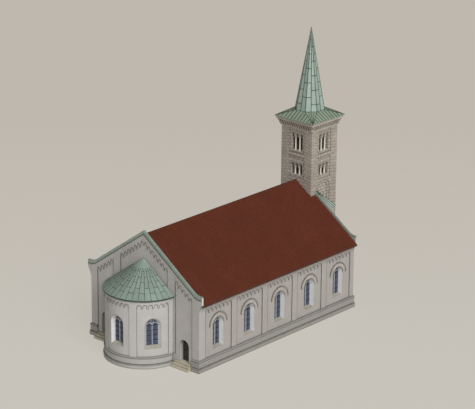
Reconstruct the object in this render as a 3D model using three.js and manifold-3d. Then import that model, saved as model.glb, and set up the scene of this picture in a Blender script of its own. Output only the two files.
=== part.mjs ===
// A round-arched hall church in millimetres, +Z up: a five-bay nave, a half-round apse at the -Y end,
// a square belfry tower with a copper spire at the +Y end, and two hinged side doors beside the apse.
// Lengths along the building are measured from the outer face of the apse-end gable (y = 0).
import * as THREE from "three";
import { mergeVertices } from "three/addons/utils/BufferGeometryUtils.js";
import Module from "manifold-3d";

const wasm = await Module();
wasm.setup();

// ---------- driving dimensions ----------
const GAP = 0.3; // between pieces that touch
const FAR = 60000; // longer than the building, for cutting blocks
const ARC_STEPS = 14; // straight stretches in half a circle
const SMALL_ARC_STEPS = 8; // the same for the belfry openings

const nave = {
  halfWidth: 7000, // centre line to the outer face of the wall strips
  length: 22700,
  wall: 800,
  recess: 60, // depth of the panels between the wall strips
  bays: 5,
  strip: 760,
  panelTop: 6050,
  floorTop: 520,
  floorThickness: 220,
};
const gable = { kneelerFoot: 6050, kneelerTurn: 6900 };
const roof = { ridge: 11990, slope: 0.711, overhang: 420, depth: 165, clearance: 12 };
const coping = { endFlat: 6650, sweep: 400, sweepSteps: 6 };
// The gable walls at either end of the nave: the wall, which shows as a corner strip on the long
// side, the thin parapet above the roof and its coping.
const frontEdge = { wall: 920, parapet: 150, lip: 30, rise: 400, depth: 380, reach: 390 };
const rearEdge = { wall: 600, parapet: 60, lip: 80, rise: 280, depth: 230, reach: 200 };
const plinth = { height: 1160, reach: 100, baseHeight: 360, baseReach: 160 };
const naveWindow = { width: 1480, sill: 1775, springing: 4130, glassSetBack: 540, glass: 40 };
const apseWindow = { width: 1560, sill: 1970, springing: 4200 };
const front = {
  outerStrip: 6150,
  innerStripOut: 4000,
  innerStripIn: 3050,
  panelTop: 11530,
  chancelHalf: 2600,
  chancelSpringing: 3600,
};
const apse = {
  radius: 3700,
  strip: 60,
  wall: 750,
  wallTop: 6720,
  roofRadius: 3870,
  eave: 6870,
  apex: 9660,
  panelTop: 6400,
};
const door = {
  centre: 5100,
  width: 1190,
  springing: 2165,
  setBack: 510,
  leaf: 64,
  nicheHalf: 700,
  nicheTop: 2880,
};
const steps = { count: 3, tread: 270, inner: 4010, outer: 6140 };
const tower = {
  half: 1950,
  start: 21920,
  wall: 600,
  strip: 950,
  recess: 80,
  wallTop: 17240,
  archSpacing: 540,
  archRadius: 165,
  columnRadius: 65,
  columnSetBack: 190,
  columnBlock: 300, // height of the block between a column and the springing of its arches
};
const belfryStages = [
  { panelBottom: 12050, panelTop: 14450, sill: 12500, springing: 13520 },
  { panelBottom: 14750, panelTop: 17240, sill: 15000, springing: 16620 },
];
const blindArch = { radius: 980, inner: 700, springing: 10980, bottom: 8000, depth: 80 };
const portal = {
  width: 1700,
  springing: 2700,
  setBack: 350,
  leaf: 80,
  orders: [1230, 1040],
  orderDepth: 110,
};
const cornice = { bottom: 17240, corbelTop: 17900, top: 18230, corbelReach: 330, reach: 430 };
const skirt = { eave: 18235, top: 18970, reach: 500, fascia: 60, thickness: 120 };
const spire = { halfFlat: 1400, tipHalf: 22, apex: 27290, thickness: 110 };
const annex = {
  width: 1300,
  wall: 350,
  wallTop: 9400,
  eaveReach: 90,
  eave: 9430,
  peak: 10980,
  thickness: 120,
};

const towerCentre = tower.start + tower.half;
const towerEnd = tower.start + 2 * tower.half;
const lowestY = -(apse.radius + plinth.baseReach + GAP);
const highestY = towerEnd + skirt.reach;
const centreY = (lowestY + highestY) / 2;

// ---------- materials ----------
const finish = (color, roughness, metalness = 0) =>
  new THREE.MeshStandardMaterial({ color, roughness, metalness });
const plaster = finish("#b5afa6", 0.9);
const greyStone = finish("#918d87", 0.85);
const towerStone = finish("#958b80", 0.88);
const paleStone = finish("#b3a98f", 0.8);
const copper = finish("#7f9e8e", 0.6, 0.3);
const tiles = finish("#5b2b22", 0.8);
const leadedGlass = finish("#2d3650", 0.25);
const oak = finish("#2c2722", 0.7);
const flooring = finish("#8a857c", 0.8);

// ---------- shapes ----------
// The closed solid of a three.js geometry.
function solidOf(geometry) {
  const bare = new THREE.BufferGeometry();
  const source = geometry.index ? geometry.toNonIndexed() : geometry;
  bare.setAttribute("position", source.getAttribute("position"));
  const merged = mergeVertices(bare, 1e-3);
  return new wasm.Manifold(
    new wasm.Mesh({
      numProp: 3,
      vertProperties: merged.attributes.position.array,
      triVerts: new Uint32Array(merged.index.array),
    }),
  );
}

function geometryOf(solid) {
  const { vertProperties, triVerts } = solid.getMesh();
  const indexed = new THREE.BufferGeometry();
  indexed.setAttribute("position", new THREE.BufferAttribute(vertProperties, 3));
  indexed.setIndex(new THREE.BufferAttribute(triVerts, 1));
  const faceted = indexed.toNonIndexed();
  faceted.computeVertexNormals();
  return faceted;
}

function box(x0, x1, y0, y1, z0, z1) {
  const block = new THREE.BoxGeometry(x1 - x0, y1 - y0, z1 - z0);
  block.translate((x0 + x1) / 2, (y0 + y1) / 2, (z0 + z1) / 2);
  return solidOf(block);
}

// An outline drawn as (x, z), carried along Y.
function alongY(shape, y0, y1, arcSteps = ARC_STEPS) {
  const prism = new THREE.ExtrudeGeometry(shape, {
    depth: y1 - y0,
    bevelEnabled: false,
    curveSegments: arcSteps,
  });
  prism.rotateX(Math.PI / 2);
  prism.translate(0, y1, 0);
  return solidOf(prism);
}

// An outline drawn as (y, z), carried along X.
function alongX(shape, x0, x1) {
  const prism = new THREE.ExtrudeGeometry(shape, {
    depth: x1 - x0,
    bevelEnabled: false,
    curveSegments: ARC_STEPS,
  });
  prism.rotateX(Math.PI / 2);
  prism.rotateZ(Math.PI / 2);
  prism.translate(x0, 0, 0);
  return solidOf(prism);
}

// An outline drawn as (x, y), carried up Z.
function alongZ(shape, z0, z1) {
  const prism = new THREE.ExtrudeGeometry(shape, {
    depth: z1 - z0,
    bevelEnabled: false,
    curveSegments: ARC_STEPS,
  });
  prism.translate(0, 0, z0);
  return solidOf(prism);
}

const outline = (points) => new THREE.Shape(points.map(([u, v]) => new THREE.Vector2(u, v)));

// A door or window outline: straight sides up to the springing, then half a circle.
function archOutline(centre, halfWidth, bottom, springing) {
  const shape = new THREE.Shape();
  shape.moveTo(centre - halfWidth, bottom);
  shape.lineTo(centre + halfWidth, bottom);
  shape.lineTo(centre + halfWidth, springing);
  shape.absarc(centre, springing, halfWidth, 0, Math.PI, false);
  shape.closePath();
  return shape;
}

// A ring sector seen from above; the angle runs from -Y towards +X, in degrees.
function ringSector(inner, outer, from, to) {
  const a = THREE.MathUtils.degToRad(from - 90);
  const b = THREE.MathUtils.degToRad(to - 90);
  const shape = new THREE.Shape();
  shape.absarc(0, 0, outer, a, b, false);
  shape.absarc(0, 0, inner, b, a, true);
  shape.closePath();
  return shape;
}

// The band between two offsets to the right of a path, with mitred corners.
function offsetBand(path, near, far) {
  const shifted = (distance) =>
    path.map(([x, y], i) => {
      const before = path[Math.max(i - 1, 0)];
      const after = path[Math.min(i + 1, path.length - 1)];
      const normals = [];
      if (i > 0) normals.push([y - before[1], before[0] - x]);
      if (i < path.length - 1) normals.push([after[1] - y, x - after[0]]);
      const units = normals.map(([u, v]) => [u / Math.hypot(u, v), v / Math.hypot(u, v)]);
      const dx = units.length === 2 ? units[0][0] + units[1][0] : units[0][0];
      const dy = units.length === 2 ? units[0][1] + units[1][1] : units[0][1];
      return [x + dx * distance, y + dy * distance];
    });
  return outline([...shifted(near), ...shifted(far).reverse()]);
}

const turnedAboutZ = (solid, degrees) => solid.rotate([0, 0, degrees]);
const shifted = (solid, x, y, z) => solid.translate([x, y, z]);
const mirroredInX = (solid) => solid.mirror([1, 0, 0]);

// Height of the roof surface over a distance from the centre line.
const roofTop = (x) => roof.ridge - roof.slope * Math.abs(x);
const roofUnderside = (x) => roofTop(x) - roof.depth;

const church = new THREE.Group();
church.position.y = -centreY;

function add(name, solid, material) {
  const mesh = new THREE.Mesh(geometryOf(solid), material);
  mesh.name = name;
  church.add(mesh);
}

// A piece on the +X side, and its mirror image on the -X side.
function addPair(name, solid, material) {
  add("right_" + name, solid, material);
  add("left_" + name, mirroredInX(solid), material);
}

// ---------- nave side walls ----------
const bayPitch = (nave.length - frontEdge.wall - rearEdge.wall + nave.strip) / nave.bays;
const panelWidth = bayPitch - nave.strip;
const bayCentre = (bay) => frontEdge.wall + panelWidth / 2 + bay * bayPitch;

function naveSideWall() {
  const inner = nave.halfWidth - nave.wall;
  const top = (x) => roofUnderside(x) - roof.clearance;
  const section = outline([
    [inner, 0],
    [nave.halfWidth, 0],
    [nave.halfWidth, top(nave.halfWidth)],
    [inner, top(inner)],
  ]);
  let wall = alongY(section, frontEdge.wall + GAP, nave.length - rearEdge.wall - GAP);
  for (let bay = 0; bay < nave.bays; bay++) {
    const y = bayCentre(bay);
    const panel = box(
      nave.halfWidth - nave.recess,
      nave.halfWidth + 1,
      y - panelWidth / 2,
      y + panelWidth / 2,
      plinth.height,
      nave.panelTop,
    );
    const opening = archOutline(y, naveWindow.width / 2, naveWindow.sill, naveWindow.springing);
    wall = wall.subtract(panel).subtract(alongX(opening, inner - 1, nave.halfWidth + 1));
  }
  return wall;
}

addPair("side_wall", naveSideWall(), plaster);

function naveWindowPane(bay) {
  const fit = 1;
  const x = nave.halfWidth - naveWindow.glassSetBack;
  const pane = archOutline(
    bayCentre(bay),
    naveWindow.width / 2 - fit,
    naveWindow.sill + fit,
    naveWindow.springing,
  );
  return alongX(pane, x - naveWindow.glass, x);
}

for (let bay = 0; bay < nave.bays; bay++) {
  addPair("window_" + (bay + 1), naveWindowPane(bay), leadedGlass);
}

// ---------- gable walls ----------
// A line parallel to the roof slope from the given distance out to the kneeler, where a short
// sweep turns it level.
function sweptLine(from, rise, end) {
  const { endFlat, sweep, sweepSteps } = coping;
  const level = roofTop(endFlat) + rise;
  const start = roofTop(endFlat - sweep) + rise;
  const points = [[from, roofTop(from) + rise]];
  for (let i = 0; i <= sweepSteps; i++) {
    const t = i / sweepSteps;
    points.push([endFlat + sweep * (2 * t - 1), (1 - t) ** 2 * start + (1 - (1 - t) ** 2) * level]);
  }
  points.push([end, level]);
  return points;
}

// Half of a gable wall, from the given distance out to the corner, with parapet and kneeler.
// It stands on 0 <= y <= edge.wall with its outer face on y = 0.
function halfGable(from, edge) {
  const w = nave.halfWidth;
  const underRoof = (x) => roofUnderside(x) - roof.clearance;
  const body = alongY(
    outline([
      [from, 0],
      [w, 0],
      [w, underRoof(w)],
      [from, underRoof(from)],
    ]),
    0,
    edge.wall,
  );
  const kneeler = new THREE.Shape();
  const tip = w + edge.reach;
  const curve = [w + 0.42 * edge.reach, 0.47 * gable.kneelerFoot + 0.53 * gable.kneelerTurn];
  kneeler.moveTo(from, 0);
  kneeler.lineTo(w, 0);
  kneeler.lineTo(w, gable.kneelerFoot);
  kneeler.quadraticCurveTo(...curve, tip, gable.kneelerTurn);
  for (const [x, z] of sweptLine(from, edge.rise - edge.depth - GAP, tip).reverse()) {
    kneeler.lineTo(x, z);
  }
  kneeler.closePath();
  return body.add(alongY(kneeler, 0, edge.parapet));
}

function frontPanels() {
  const top = (x) => front.panelTop - roof.slope * Math.abs(x);
  const side = outline([
    [front.innerStripOut, -1],
    [front.outerStrip, -1],
    [front.outerStrip, top(front.outerStrip)],
    [front.innerStripOut, top(front.innerStripOut)],
  ]);
  // The middle field starts on the line where the apse roof meets the wall.
  const apseLine = (x) => apse.apex - ((apse.apex - apse.eave) / apse.roofRadius) * x + 20;
  const middle = outline([
    [-front.innerStripIn, apseLine(front.innerStripIn)],
    [0, apseLine(0)],
    [front.innerStripIn, apseLine(front.innerStripIn)],
    [front.innerStripIn, top(front.innerStripIn)],
    [0, top(0)],
    [-front.innerStripIn, top(front.innerStripIn)],
  ]);
  const sideRecess = alongY(side, -1, nave.recess);
  return sideRecess.add(mirroredInX(sideRecess)).add(alongY(middle, -1, nave.recess));
}

function sideDoorway() {
  const arch = archOutline(door.centre, door.width / 2, -1, door.springing);
  const rebate = nave.recess + door.setBack;
  const niche = box(
    door.centre - door.nicheHalf,
    door.centre + door.nicheHalf,
    rebate,
    frontEdge.wall + 1,
    nave.floorTop,
    door.nicheTop,
  );
  return alongY(arch, -1, frontEdge.wall + 1).add(niche);
}

function frontWall() {
  const half = halfGable(0, frontEdge);
  const chancelArch = archOutline(0, front.chancelHalf, -1, front.chancelSpringing);
  const doorway = sideDoorway();
  return half
    .add(mirroredInX(half))
    .subtract(frontPanels())
    .subtract(alongY(chancelArch, -1, frontEdge.wall + 1))
    .subtract(doorway)
    .subtract(mirroredInX(doorway));
}

const wholeFront = frontWall();
const headJoint = door.springing;
const upperBlock = box(-FAR, FAR, -FAR, FAR, headJoint + GAP, FAR);
add("front_gable", wholeFront.intersect(upperBlock), plaster);
const cornerBlock = box(door.centre, FAR, -FAR, FAR, -1, headJoint);
addPair("front_corner_pier", wholeFront.intersect(cornerBlock), plaster);
const pierBlock = box(0, door.centre, -FAR, FAR, -1, headJoint);
addPair("front_inner_pier", wholeFront.intersect(pierBlock), plaster);

function rearWall() {
  const half = halfGable(tower.half + GAP, rearEdge);
  const turned = half.mirror([0, 1, 0]);
  const top = (x) => front.panelTop - roof.slope * x;
  const inner = tower.half + annex.width + nave.strip / 2;
  const panel = outline([
    [inner, plinth.height],
    [front.outerStrip, plinth.height],
    [front.outerStrip, top(front.outerStrip)],
    [inner, top(inner)],
  ]);
  const face = nave.length;
  return shifted(turned, 0, face, 0).subtract(alongY(panel, face - nave.recess, face + 1));
}

addPair("rear_wall", rearWall(), plaster);

// ---------- copings ----------
function copingHalf(from, edge) {
  const end = nave.halfWidth + edge.reach;
  const foot = sweptLine(from, edge.rise - edge.depth, end);
  return outline([...foot, ...sweptLine(from, edge.rise, end).reverse()]);
}

const frontCopingHalf = alongY(
  copingHalf(0, frontEdge),
  -frontEdge.lip,
  frontEdge.parapet + frontEdge.lip,
);
add("front_coping", frontCopingHalf.add(mirroredInX(frontCopingHalf)), copper);
const rearCoping = alongY(
  copingHalf(tower.half + GAP, rearEdge),
  nave.length - rearEdge.parapet,
  nave.length + rearEdge.lip,
);
addPair("rear_coping", rearCoping, copper);

// ---------- nave roof ----------
function roofSlope() {
  const eave = nave.halfWidth + roof.overhang;
  const section = outline([
    [GAP / 2, roofUnderside(0)],
    [eave, roofUnderside(eave)],
    [eave, roofTop(eave)],
    [GAP / 2, roofTop(0)],
  ]);
  const clear = 5;
  const slab = alongY(section, frontEdge.parapet + clear, nave.length - rearEdge.parapet - clear);
  const towerNotch = box(-FAR, tower.half + clear, tower.start - clear, FAR, 0, FAR);
  return slab.subtract(towerNotch);
}

addPair("nave_roof", roofSlope(), tiles);

// ---------- apse ----------
const apseWindowAngles = { left: -57, middle: 0, right: 57 };
const apseStripAngles = [
  [-90, -81.5],
  [-33, -22],
  [22, 33],
  [81.5, 90],
];
const apseJoints = [-90, -33, 33, 90];

function apseWindowCutter(angle, shrink, y0, y1) {
  const opening = archOutline(
    0,
    apseWindow.width / 2 - shrink,
    apseWindow.sill + shrink,
    apseWindow.springing,
  );
  return turnedAboutZ(alongY(opening, y0, y1), angle);
}

function apseWall() {
  let wall = alongZ(ringSector(apse.radius - apse.wall, apse.radius, -90, 90), 0, apse.wallTop);
  const stripRadius = apse.radius + apse.strip;
  const band = ringSector(apse.radius - 100, stripRadius, -90, 90);
  wall = wall.add(alongZ(band, apse.panelTop, apse.wallTop));
  for (const [from, to] of apseStripAngles) {
    const strip = ringSector(apse.radius - 100, stripRadius, from, to);
    wall = wall.add(alongZ(strip, plinth.height + GAP, apse.panelTop + 1));
  }
  for (const angle of Object.values(apseWindowAngles)) {
    wall = wall.subtract(apseWindowCutter(angle, 0, -apse.radius - 200, -1500));
  }
  return shifted(wall, 0, -GAP, 0);
}

// A wedge from the apse's centre between two angles.
function wedge(from, to) {
  const reach = 2 * apse.radius;
  const a = THREE.MathUtils.degToRad(from - 90);
  const b = THREE.MathUtils.degToRad(to - 90);
  const shape = new THREE.Shape();
  shape.moveTo(0, 0);
  shape.lineTo(reach * Math.cos(a), reach * Math.sin(a));
  shape.absarc(0, 0, reach, a, b, false);
  shape.closePath();
  return alongZ(shape, -1, apse.apex);
}

const wholeApse = apseWall();
const jointAngle = THREE.MathUtils.radToDeg(GAP / apse.radius);
["left", "middle", "right"].forEach((side, i) => {
  const sector = wedge(apseJoints[i] + (i ? jointAngle : 0), apseJoints[i + 1]);
  add("apse_wall_" + side, wholeApse.intersect(sector), plaster);
});

for (const [side, angle] of Object.entries(apseWindowAngles)) {
  const paneFace = apse.radius + apse.strip - naveWindow.glassSetBack;
  const pane = apseWindowCutter(angle, 1, -paneFace, -paneFace + naveWindow.glass);
  add("apse_window_" + side, shifted(pane, 0, -GAP, 0), leadedGlass);
}

function apseRoof() {
  const profile = [
    [0, apse.apex],
    [apse.roofRadius, apse.eave],
    [apse.roofRadius, apse.wallTop + GAP],
    [apse.radius - 150, apse.wallTop + GAP],
    [0, apse.apex - 200],
  ];
  const lathe = new THREE.LatheGeometry(
    profile.map(([r, z]) => new THREE.Vector2(r, z)).reverse(),
    2 * ARC_STEPS,
  );
  lathe.rotateX(Math.PI / 2);
  const cone = solidOf(lathe);
  return cone.intersect(box(-FAR, FAR, -FAR, -GAP, 0, FAR));
}

add("apse_roof", apseRoof(), copper);

function apsePlinth() {
  const course = (reach, z0, z1) => {
    const ring = alongZ(ringSector(apse.radius + GAP, apse.radius + reach, -90, 90), z0, z1);
    const foot = box(apse.radius + 10, front.innerStripOut, -reach, 0, z0, z1);
    return shifted(ring.add(foot).add(mirroredInX(foot)), 0, -GAP, 0);
  };
  const upper = course(plinth.reach, 0, plinth.height);
  return upper.add(course(plinth.baseReach, 0, plinth.baseHeight));
}

add("apse_plinth", apsePlinth(), greyStone);

// ---------- side doors and their steps ----------
const rebateFace = nave.recess + door.setBack;
const leafClear = 30;
const leaf = box(
  door.centre - door.nicheHalf + leafClear,
  door.centre + door.nicheHalf - leafClear,
  rebateFace + 6,
  rebateFace + 6 + door.leaf,
  nave.floorTop + 10,
  door.nicheTop - 20,
);
addPair("side_door", leaf, oak);

function sideSteps() {
  const rise = nave.floorTop / steps.count;
  const landing = -plinth.reach;
  const points = [[nave.recess - GAP, 0]];
  for (let i = 0; i < steps.count; i++) {
    const y = landing - (steps.count - 1 - i) * steps.tread;
    points.push([y, i * rise], [y, (i + 1) * rise]);
  }
  points.push([nave.recess - GAP, nave.floorTop]);
  const flight = alongX(outline(points.reverse()), steps.inner, steps.outer);
  const half = door.width / 2 - GAP;
  const threshold = box(
    door.centre - half,
    door.centre + half,
    nave.recess - 10,
    frontEdge.wall,
    0,
    nave.floorTop,
  );
  return flight.add(threshold);
}

addPair("side_steps", sideSteps(), paleStone);

// ---------- tower ----------
// One tower face, drawn on the outer plane y = 0 with the wall behind it on y > 0.
function towerFace(halfWidth, isFront) {
  const t = tower.wall;
  let face = box(-halfWidth, halfWidth, 0, t, 0, tower.wallTop);
  const panelHalf = tower.half - tower.strip;
  for (const stage of belfryStages) {
    face = face.subtract(
      box(-panelHalf, panelHalf, -1, tower.recess, stage.panelBottom, stage.panelTop),
    );
    for (const i of [-1, 0, 1]) {
      const opening = archOutline(
        i * tower.archSpacing,
        tower.archRadius,
        stage.sill,
        stage.springing,
      );
      face = face.subtract(alongY(opening, -1, t + 1, SMALL_ARC_STEPS));
    }
    // The piers between the openings are slim round columns below their springing blocks.
    const pierHalf = tower.archSpacing / 2 - tower.archRadius;
    const columnTop = stage.springing - tower.columnBlock;
    for (const i of [-0.5, 0.5]) {
      const x = i * tower.archSpacing;
      const pier = box(x - pierHalf - 1, x + pierHalf + 1, -1, t + 1, stage.sill, columnTop);
      const column = new THREE.CylinderGeometry(
        tower.columnRadius,
        tower.columnRadius,
        columnTop - stage.sill + 20,
        8,
      );
      column.rotateX(Math.PI / 2);
      column.translate(x, tower.columnSetBack, (stage.sill + columnTop) / 2);
      face = face.subtract(pier).add(solidOf(column));
    }
  }
  if (isFront) return face;
  const orders = [blindArch.radius, blindArch.inner];
  orders.forEach((radius, i) => {
    const niche = archOutline(0, radius, blindArch.bottom, blindArch.springing);
    face = face.subtract(alongY(niche, -1, blindArch.depth * (i + 1)));
  });
  return face;
}

function towerFront() {
  const passage = archOutline(0, portal.width / 2, -1, portal.springing);
  const face = towerFace(tower.half, true);
  return shifted(face.subtract(alongY(passage, -1, tower.wall + 1)), 0, tower.start, 0);
}

function towerBack() {
  let face = towerFace(tower.half, false);
  portal.orders.forEach((radius, i) => {
    const order = archOutline(0, radius, -1, portal.springing);
    face = face.subtract(alongY(order, -1, portal.orderDepth * (i + 1)));
  });
  const doorway = archOutline(0, portal.width / 2, -1, portal.springing);
  face = face.subtract(alongY(doorway, -1, tower.wall + 1));
  return shifted(turnedAboutZ(face, 180), 0, towerEnd, 0);
}

function towerSide() {
  const face = towerFace(tower.half - tower.wall - GAP, false);
  return shifted(turnedAboutZ(face, 90), tower.half, towerCentre, 0);
}

add("tower_front_wall", towerFront(), towerStone);
add("tower_back_wall", towerBack(), towerStone);
addPair("tower_wall", towerSide(), towerStone);

function portalDoor() {
  const fit = 1;
  const pane = archOutline(0, portal.width / 2 - fit, nave.floorTop + fit, portal.springing);
  const y = towerEnd - portal.setBack;
  return alongY(pane, y - portal.leaf, y);
}

add("tower_door", portalDoor(), oak);

function portalSteps() {
  const rise = nave.floorTop / steps.count;
  const half = portal.orders[0];
  const inside = towerEnd - tower.wall;
  const opening = portal.width / 2 - GAP;
  let flight = box(-opening, opening, inside, towerEnd + 50, 0, nave.floorTop);
  for (let i = 0; i < steps.count; i++) {
    const reach = plinth.reach + (steps.count - i) * steps.tread;
    const wide = half - 20;
    flight = flight.add(box(-wide, wide, towerEnd + GAP, towerEnd + reach, 0, (i + 1) * rise));
  }
  return flight;
}

// The lowest step reaches no farther than the eave above it.
add("tower_steps", portalSteps().intersect(box(-FAR, FAR, 0, highestY, -1, FAR)), paleStone);

// ---------- tower cornice, skirt roof and spire ----------
// A frustum of a regular prism: n sides, half its width across the flats at each height.
function frustum(sides, halfLow, halfHigh, z0, z1) {
  const toCorner = 1 / Math.cos(Math.PI / sides);
  const form = new THREE.CylinderGeometry(halfHigh * toCorner, halfLow * toCorner, z1 - z0, sides);
  form.rotateX(Math.PI / 2);
  form.rotateZ(Math.PI / sides);
  form.translate(0, towerCentre, (z0 + z1) / 2);
  return solidOf(form);
}

function towerCornice() {
  const foot = cornice.bottom + GAP;
  const corbels = frustum(4, tower.half, tower.half + cornice.corbelReach, foot, cornice.corbelTop);
  const bandHalf = tower.half + cornice.reach;
  const band = frustum(4, bandHalf, bandHalf, cornice.corbelTop - 1, cornice.top);
  const hollow = tower.half - tower.wall;
  return corbels.add(band).subtract(frustum(4, hollow, hollow, foot - 1, cornice.top + 1));
}

add("tower_cornice", towerCornice(), paleStone);

// The skirt turns the square eave into the eight sides of the spire's foot: the hull of a square
// and an octagon, drawn as four flat trapezoids and four corner triangles.
function skirtForm(drop, inset) {
  const eaveHalf = tower.half + skirt.reach - inset;
  const topHalf = spire.halfFlat - inset;
  const side = topHalf * Math.tan(Math.PI / 8);
  const z0 = skirt.eave + skirt.fascia - drop;
  const z1 = skirt.top - drop;
  const square = [
    [eaveHalf, -eaveHalf],
    [eaveHalf, eaveHalf],
    [-eaveHalf, eaveHalf],
    [-eaveHalf, -eaveHalf],
  ];
  const octagon = [];
  for (let i = 0; i < 4; i++) {
    const turn = (i * Math.PI) / 2;
    for (const v of [-side, side]) {
      octagon.push([
        topHalf * Math.cos(turn) - v * Math.sin(turn),
        topHalf * Math.sin(turn) + v * Math.cos(turn),
      ]);
    }
  }
  const bottom = z0 - (drop ? 1000 : skirt.fascia);
  const points = [
    ...square.map(([x, y]) => [x, y, bottom]),
    ...square.map(([x, y]) => [x, y, z0]),
    ...octagon.map(([x, y]) => [x, y, z1]),
  ];
  const faces = [
    [0, 2, 1],
    [0, 3, 2],
  ];
  for (let i = 0; i < 4; i++) {
    const j = (i + 1) % 4;
    const low = 4 + i;
    const lowNext = 4 + j;
    const high = 8 + 2 * i;
    const highNext = high + 1;
    const nextStart = 8 + 2 * j;
    faces.push([i, j, lowNext], [i, lowNext, low]);
    faces.push([low, lowNext, highNext], [low, highNext, high]);
    faces.push([lowNext, nextStart, highNext]);
  }
  for (let i = 1; i < 7; i++) faces.push([8, 8 + i, 9 + i]);
  const form = new THREE.BufferGeometry();
  form.setAttribute("position", new THREE.Float32BufferAttribute(points.flat(), 3));
  form.setIndex(faces.flat());
  form.translate(0, towerCentre, 0);
  return solidOf(form);
}

function skirtRoof() {
  const throat = spire.halfFlat - 250;
  const shell = skirtForm(0, 0).subtract(skirtForm(skirt.thickness, skirt.thickness));
  return shell.subtract(frustum(8, throat, throat, skirt.eave - 500, skirt.top + 500));
}

add("skirt_roof", skirtRoof(), copper);

function spireForm() {
  const foot = skirt.top + GAP;
  const outer = frustum(8, spire.halfFlat, spire.tipHalf, foot, spire.apex);
  const innerTop = foot + (spire.apex - foot) * (1 - spire.thickness / spire.halfFlat) - 1500;
  const ratio = (spire.apex - innerTop) / (spire.apex - foot);
  const innerTopHalf = Math.max(spire.halfFlat * ratio - spire.thickness, 30);
  const inner = frustum(8, spire.halfFlat - spire.thickness, innerTopHalf, foot - 1, innerTop);
  return outer.subtract(inner);
}

add("spire", spireForm(), copper);

// ---------- annexes beside the tower ----------
function annexWalls() {
  const x0 = tower.half + GAP;
  const x1 = tower.half + annex.width;
  const y0 = nave.length + GAP;
  const y1 = nave.length + annex.width;
  const block = box(x0, x1, y0, y1, 0, annex.wallTop);
  return block.subtract(box(x0 - 1, x1 - annex.wall, y0 - 1, y1 - annex.wall, -1, FAR));
}

addPair("annex_walls", annexWalls(), plaster);

// Two copper slopes that fall from the corner between tower and gable to the annex's outer walls.
function annexRoof() {
  const reach = annex.width + annex.eaveReach;
  const form = (drop) => {
    const points = [
      [0, 0, annex.eave - drop],
      [reach, 0, annex.eave - drop],
      [reach, reach, annex.eave - drop],
      [0, reach, annex.eave - drop],
      [0, 0, annex.peak - drop],
    ];
    const faces = [
      [0, 2, 1],
      [0, 3, 2],
      [0, 1, 4],
      [1, 2, 4],
      [2, 3, 4],
      [3, 0, 4],
    ];
    const pyramid = new THREE.BufferGeometry();
    pyramid.setAttribute("position", new THREE.Float32BufferAttribute(points.flat(), 3));
    pyramid.setIndex(faces.flat());
    pyramid.translate(tower.half + GAP, nave.length + rearEdge.lip + GAP, 0);
    return solidOf(pyramid);
  };
  const cut = form(2 * annex.thickness);
  return form(0).subtract(shifted(cut, -annex.thickness / 2, -annex.thickness / 2, 0));
}

addPair("annex_roof", annexRoof(), copper);

// ---------- plinth courses round the foot of the walls ----------
const plinthLine = [
  [front.outerStrip, 0],
  [nave.halfWidth, 0],
  [nave.halfWidth, nave.length],
  [tower.half + annex.width, nave.length],
  [tower.half + annex.width, nave.length + annex.width],
  [tower.half, nave.length + annex.width],
  [tower.half, towerEnd],
  [portal.orders[0], towerEnd],
];
const plinthUpper = alongZ(offsetBand(plinthLine, GAP, plinth.reach), 0, plinth.height);
const plinthBase = alongZ(offsetBand(plinthLine, GAP, plinth.baseReach), 0, plinth.baseHeight);
addPair("plinth", plinthUpper.add(plinthBase), greyStone);

// ---------- floor ----------
function floorSlab() {
  const inner = nave.halfWidth - nave.wall - GAP;
  const z0 = nave.floorTop - nave.floorThickness;
  const z1 = nave.floorTop;
  const hallEnd = Math.min(nave.length - rearEdge.wall, tower.start) - GAP;
  const hall = box(-inner, inner, frontEdge.wall + GAP, hallEnd, z0, z1);
  const chancel = front.chancelHalf - GAP;
  const passage = box(-chancel, chancel, -1, frontEdge.wall + 1, z0, z1);
  const apseRadius = apse.radius - apse.wall - 5;
  const apseFloor = alongZ(ringSector(1, apseRadius, -90, 90), z0, z1);
  const entry = portal.width / 2 - GAP;
  const towerInside = tower.start + tower.wall;
  const towerPassage = box(-entry, entry, hallEnd - 1, towerInside + 1, z0, z1);
  const room = tower.half - tower.wall - GAP;
  const towerRoom = box(-room, room, towerInside + GAP, towerEnd - tower.wall - GAP, z0, z1);
  return hall.add(passage).add(apseFloor).add(towerPassage).add(towerRoom);
}

add("floor", floorSlab(), flooring);

export default church;
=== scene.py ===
"""A round-arched hall church with a half-round apse, a tiled nave and a belfry tower.

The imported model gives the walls, roofs and doors. This script gives them their finishes and
adds what a mason, a roofer and a glazier add: arch friezes, window rings, sills, tracery,
roof tiles, copper sheets and seams, quoins, corbels, colonnettes, planks and irons.
All lengths are in metres.
"""

import bmesh
import bpy
import numpy as np
from mathutils import Matrix, Vector


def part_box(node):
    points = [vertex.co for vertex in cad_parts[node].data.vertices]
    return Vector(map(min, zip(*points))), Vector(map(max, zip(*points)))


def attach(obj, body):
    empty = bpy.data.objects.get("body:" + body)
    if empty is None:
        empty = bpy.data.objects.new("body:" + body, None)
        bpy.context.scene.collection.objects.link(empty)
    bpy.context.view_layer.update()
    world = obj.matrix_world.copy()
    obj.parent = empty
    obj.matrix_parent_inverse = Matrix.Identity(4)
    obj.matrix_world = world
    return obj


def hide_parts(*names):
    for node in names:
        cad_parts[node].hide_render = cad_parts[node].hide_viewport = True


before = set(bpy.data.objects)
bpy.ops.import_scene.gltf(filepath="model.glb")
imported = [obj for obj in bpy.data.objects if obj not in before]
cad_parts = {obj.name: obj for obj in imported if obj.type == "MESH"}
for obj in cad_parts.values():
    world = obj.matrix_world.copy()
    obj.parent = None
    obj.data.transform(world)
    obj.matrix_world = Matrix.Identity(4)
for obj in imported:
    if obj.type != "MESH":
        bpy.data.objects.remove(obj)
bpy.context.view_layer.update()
chance = np.random.default_rng(11)

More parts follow.
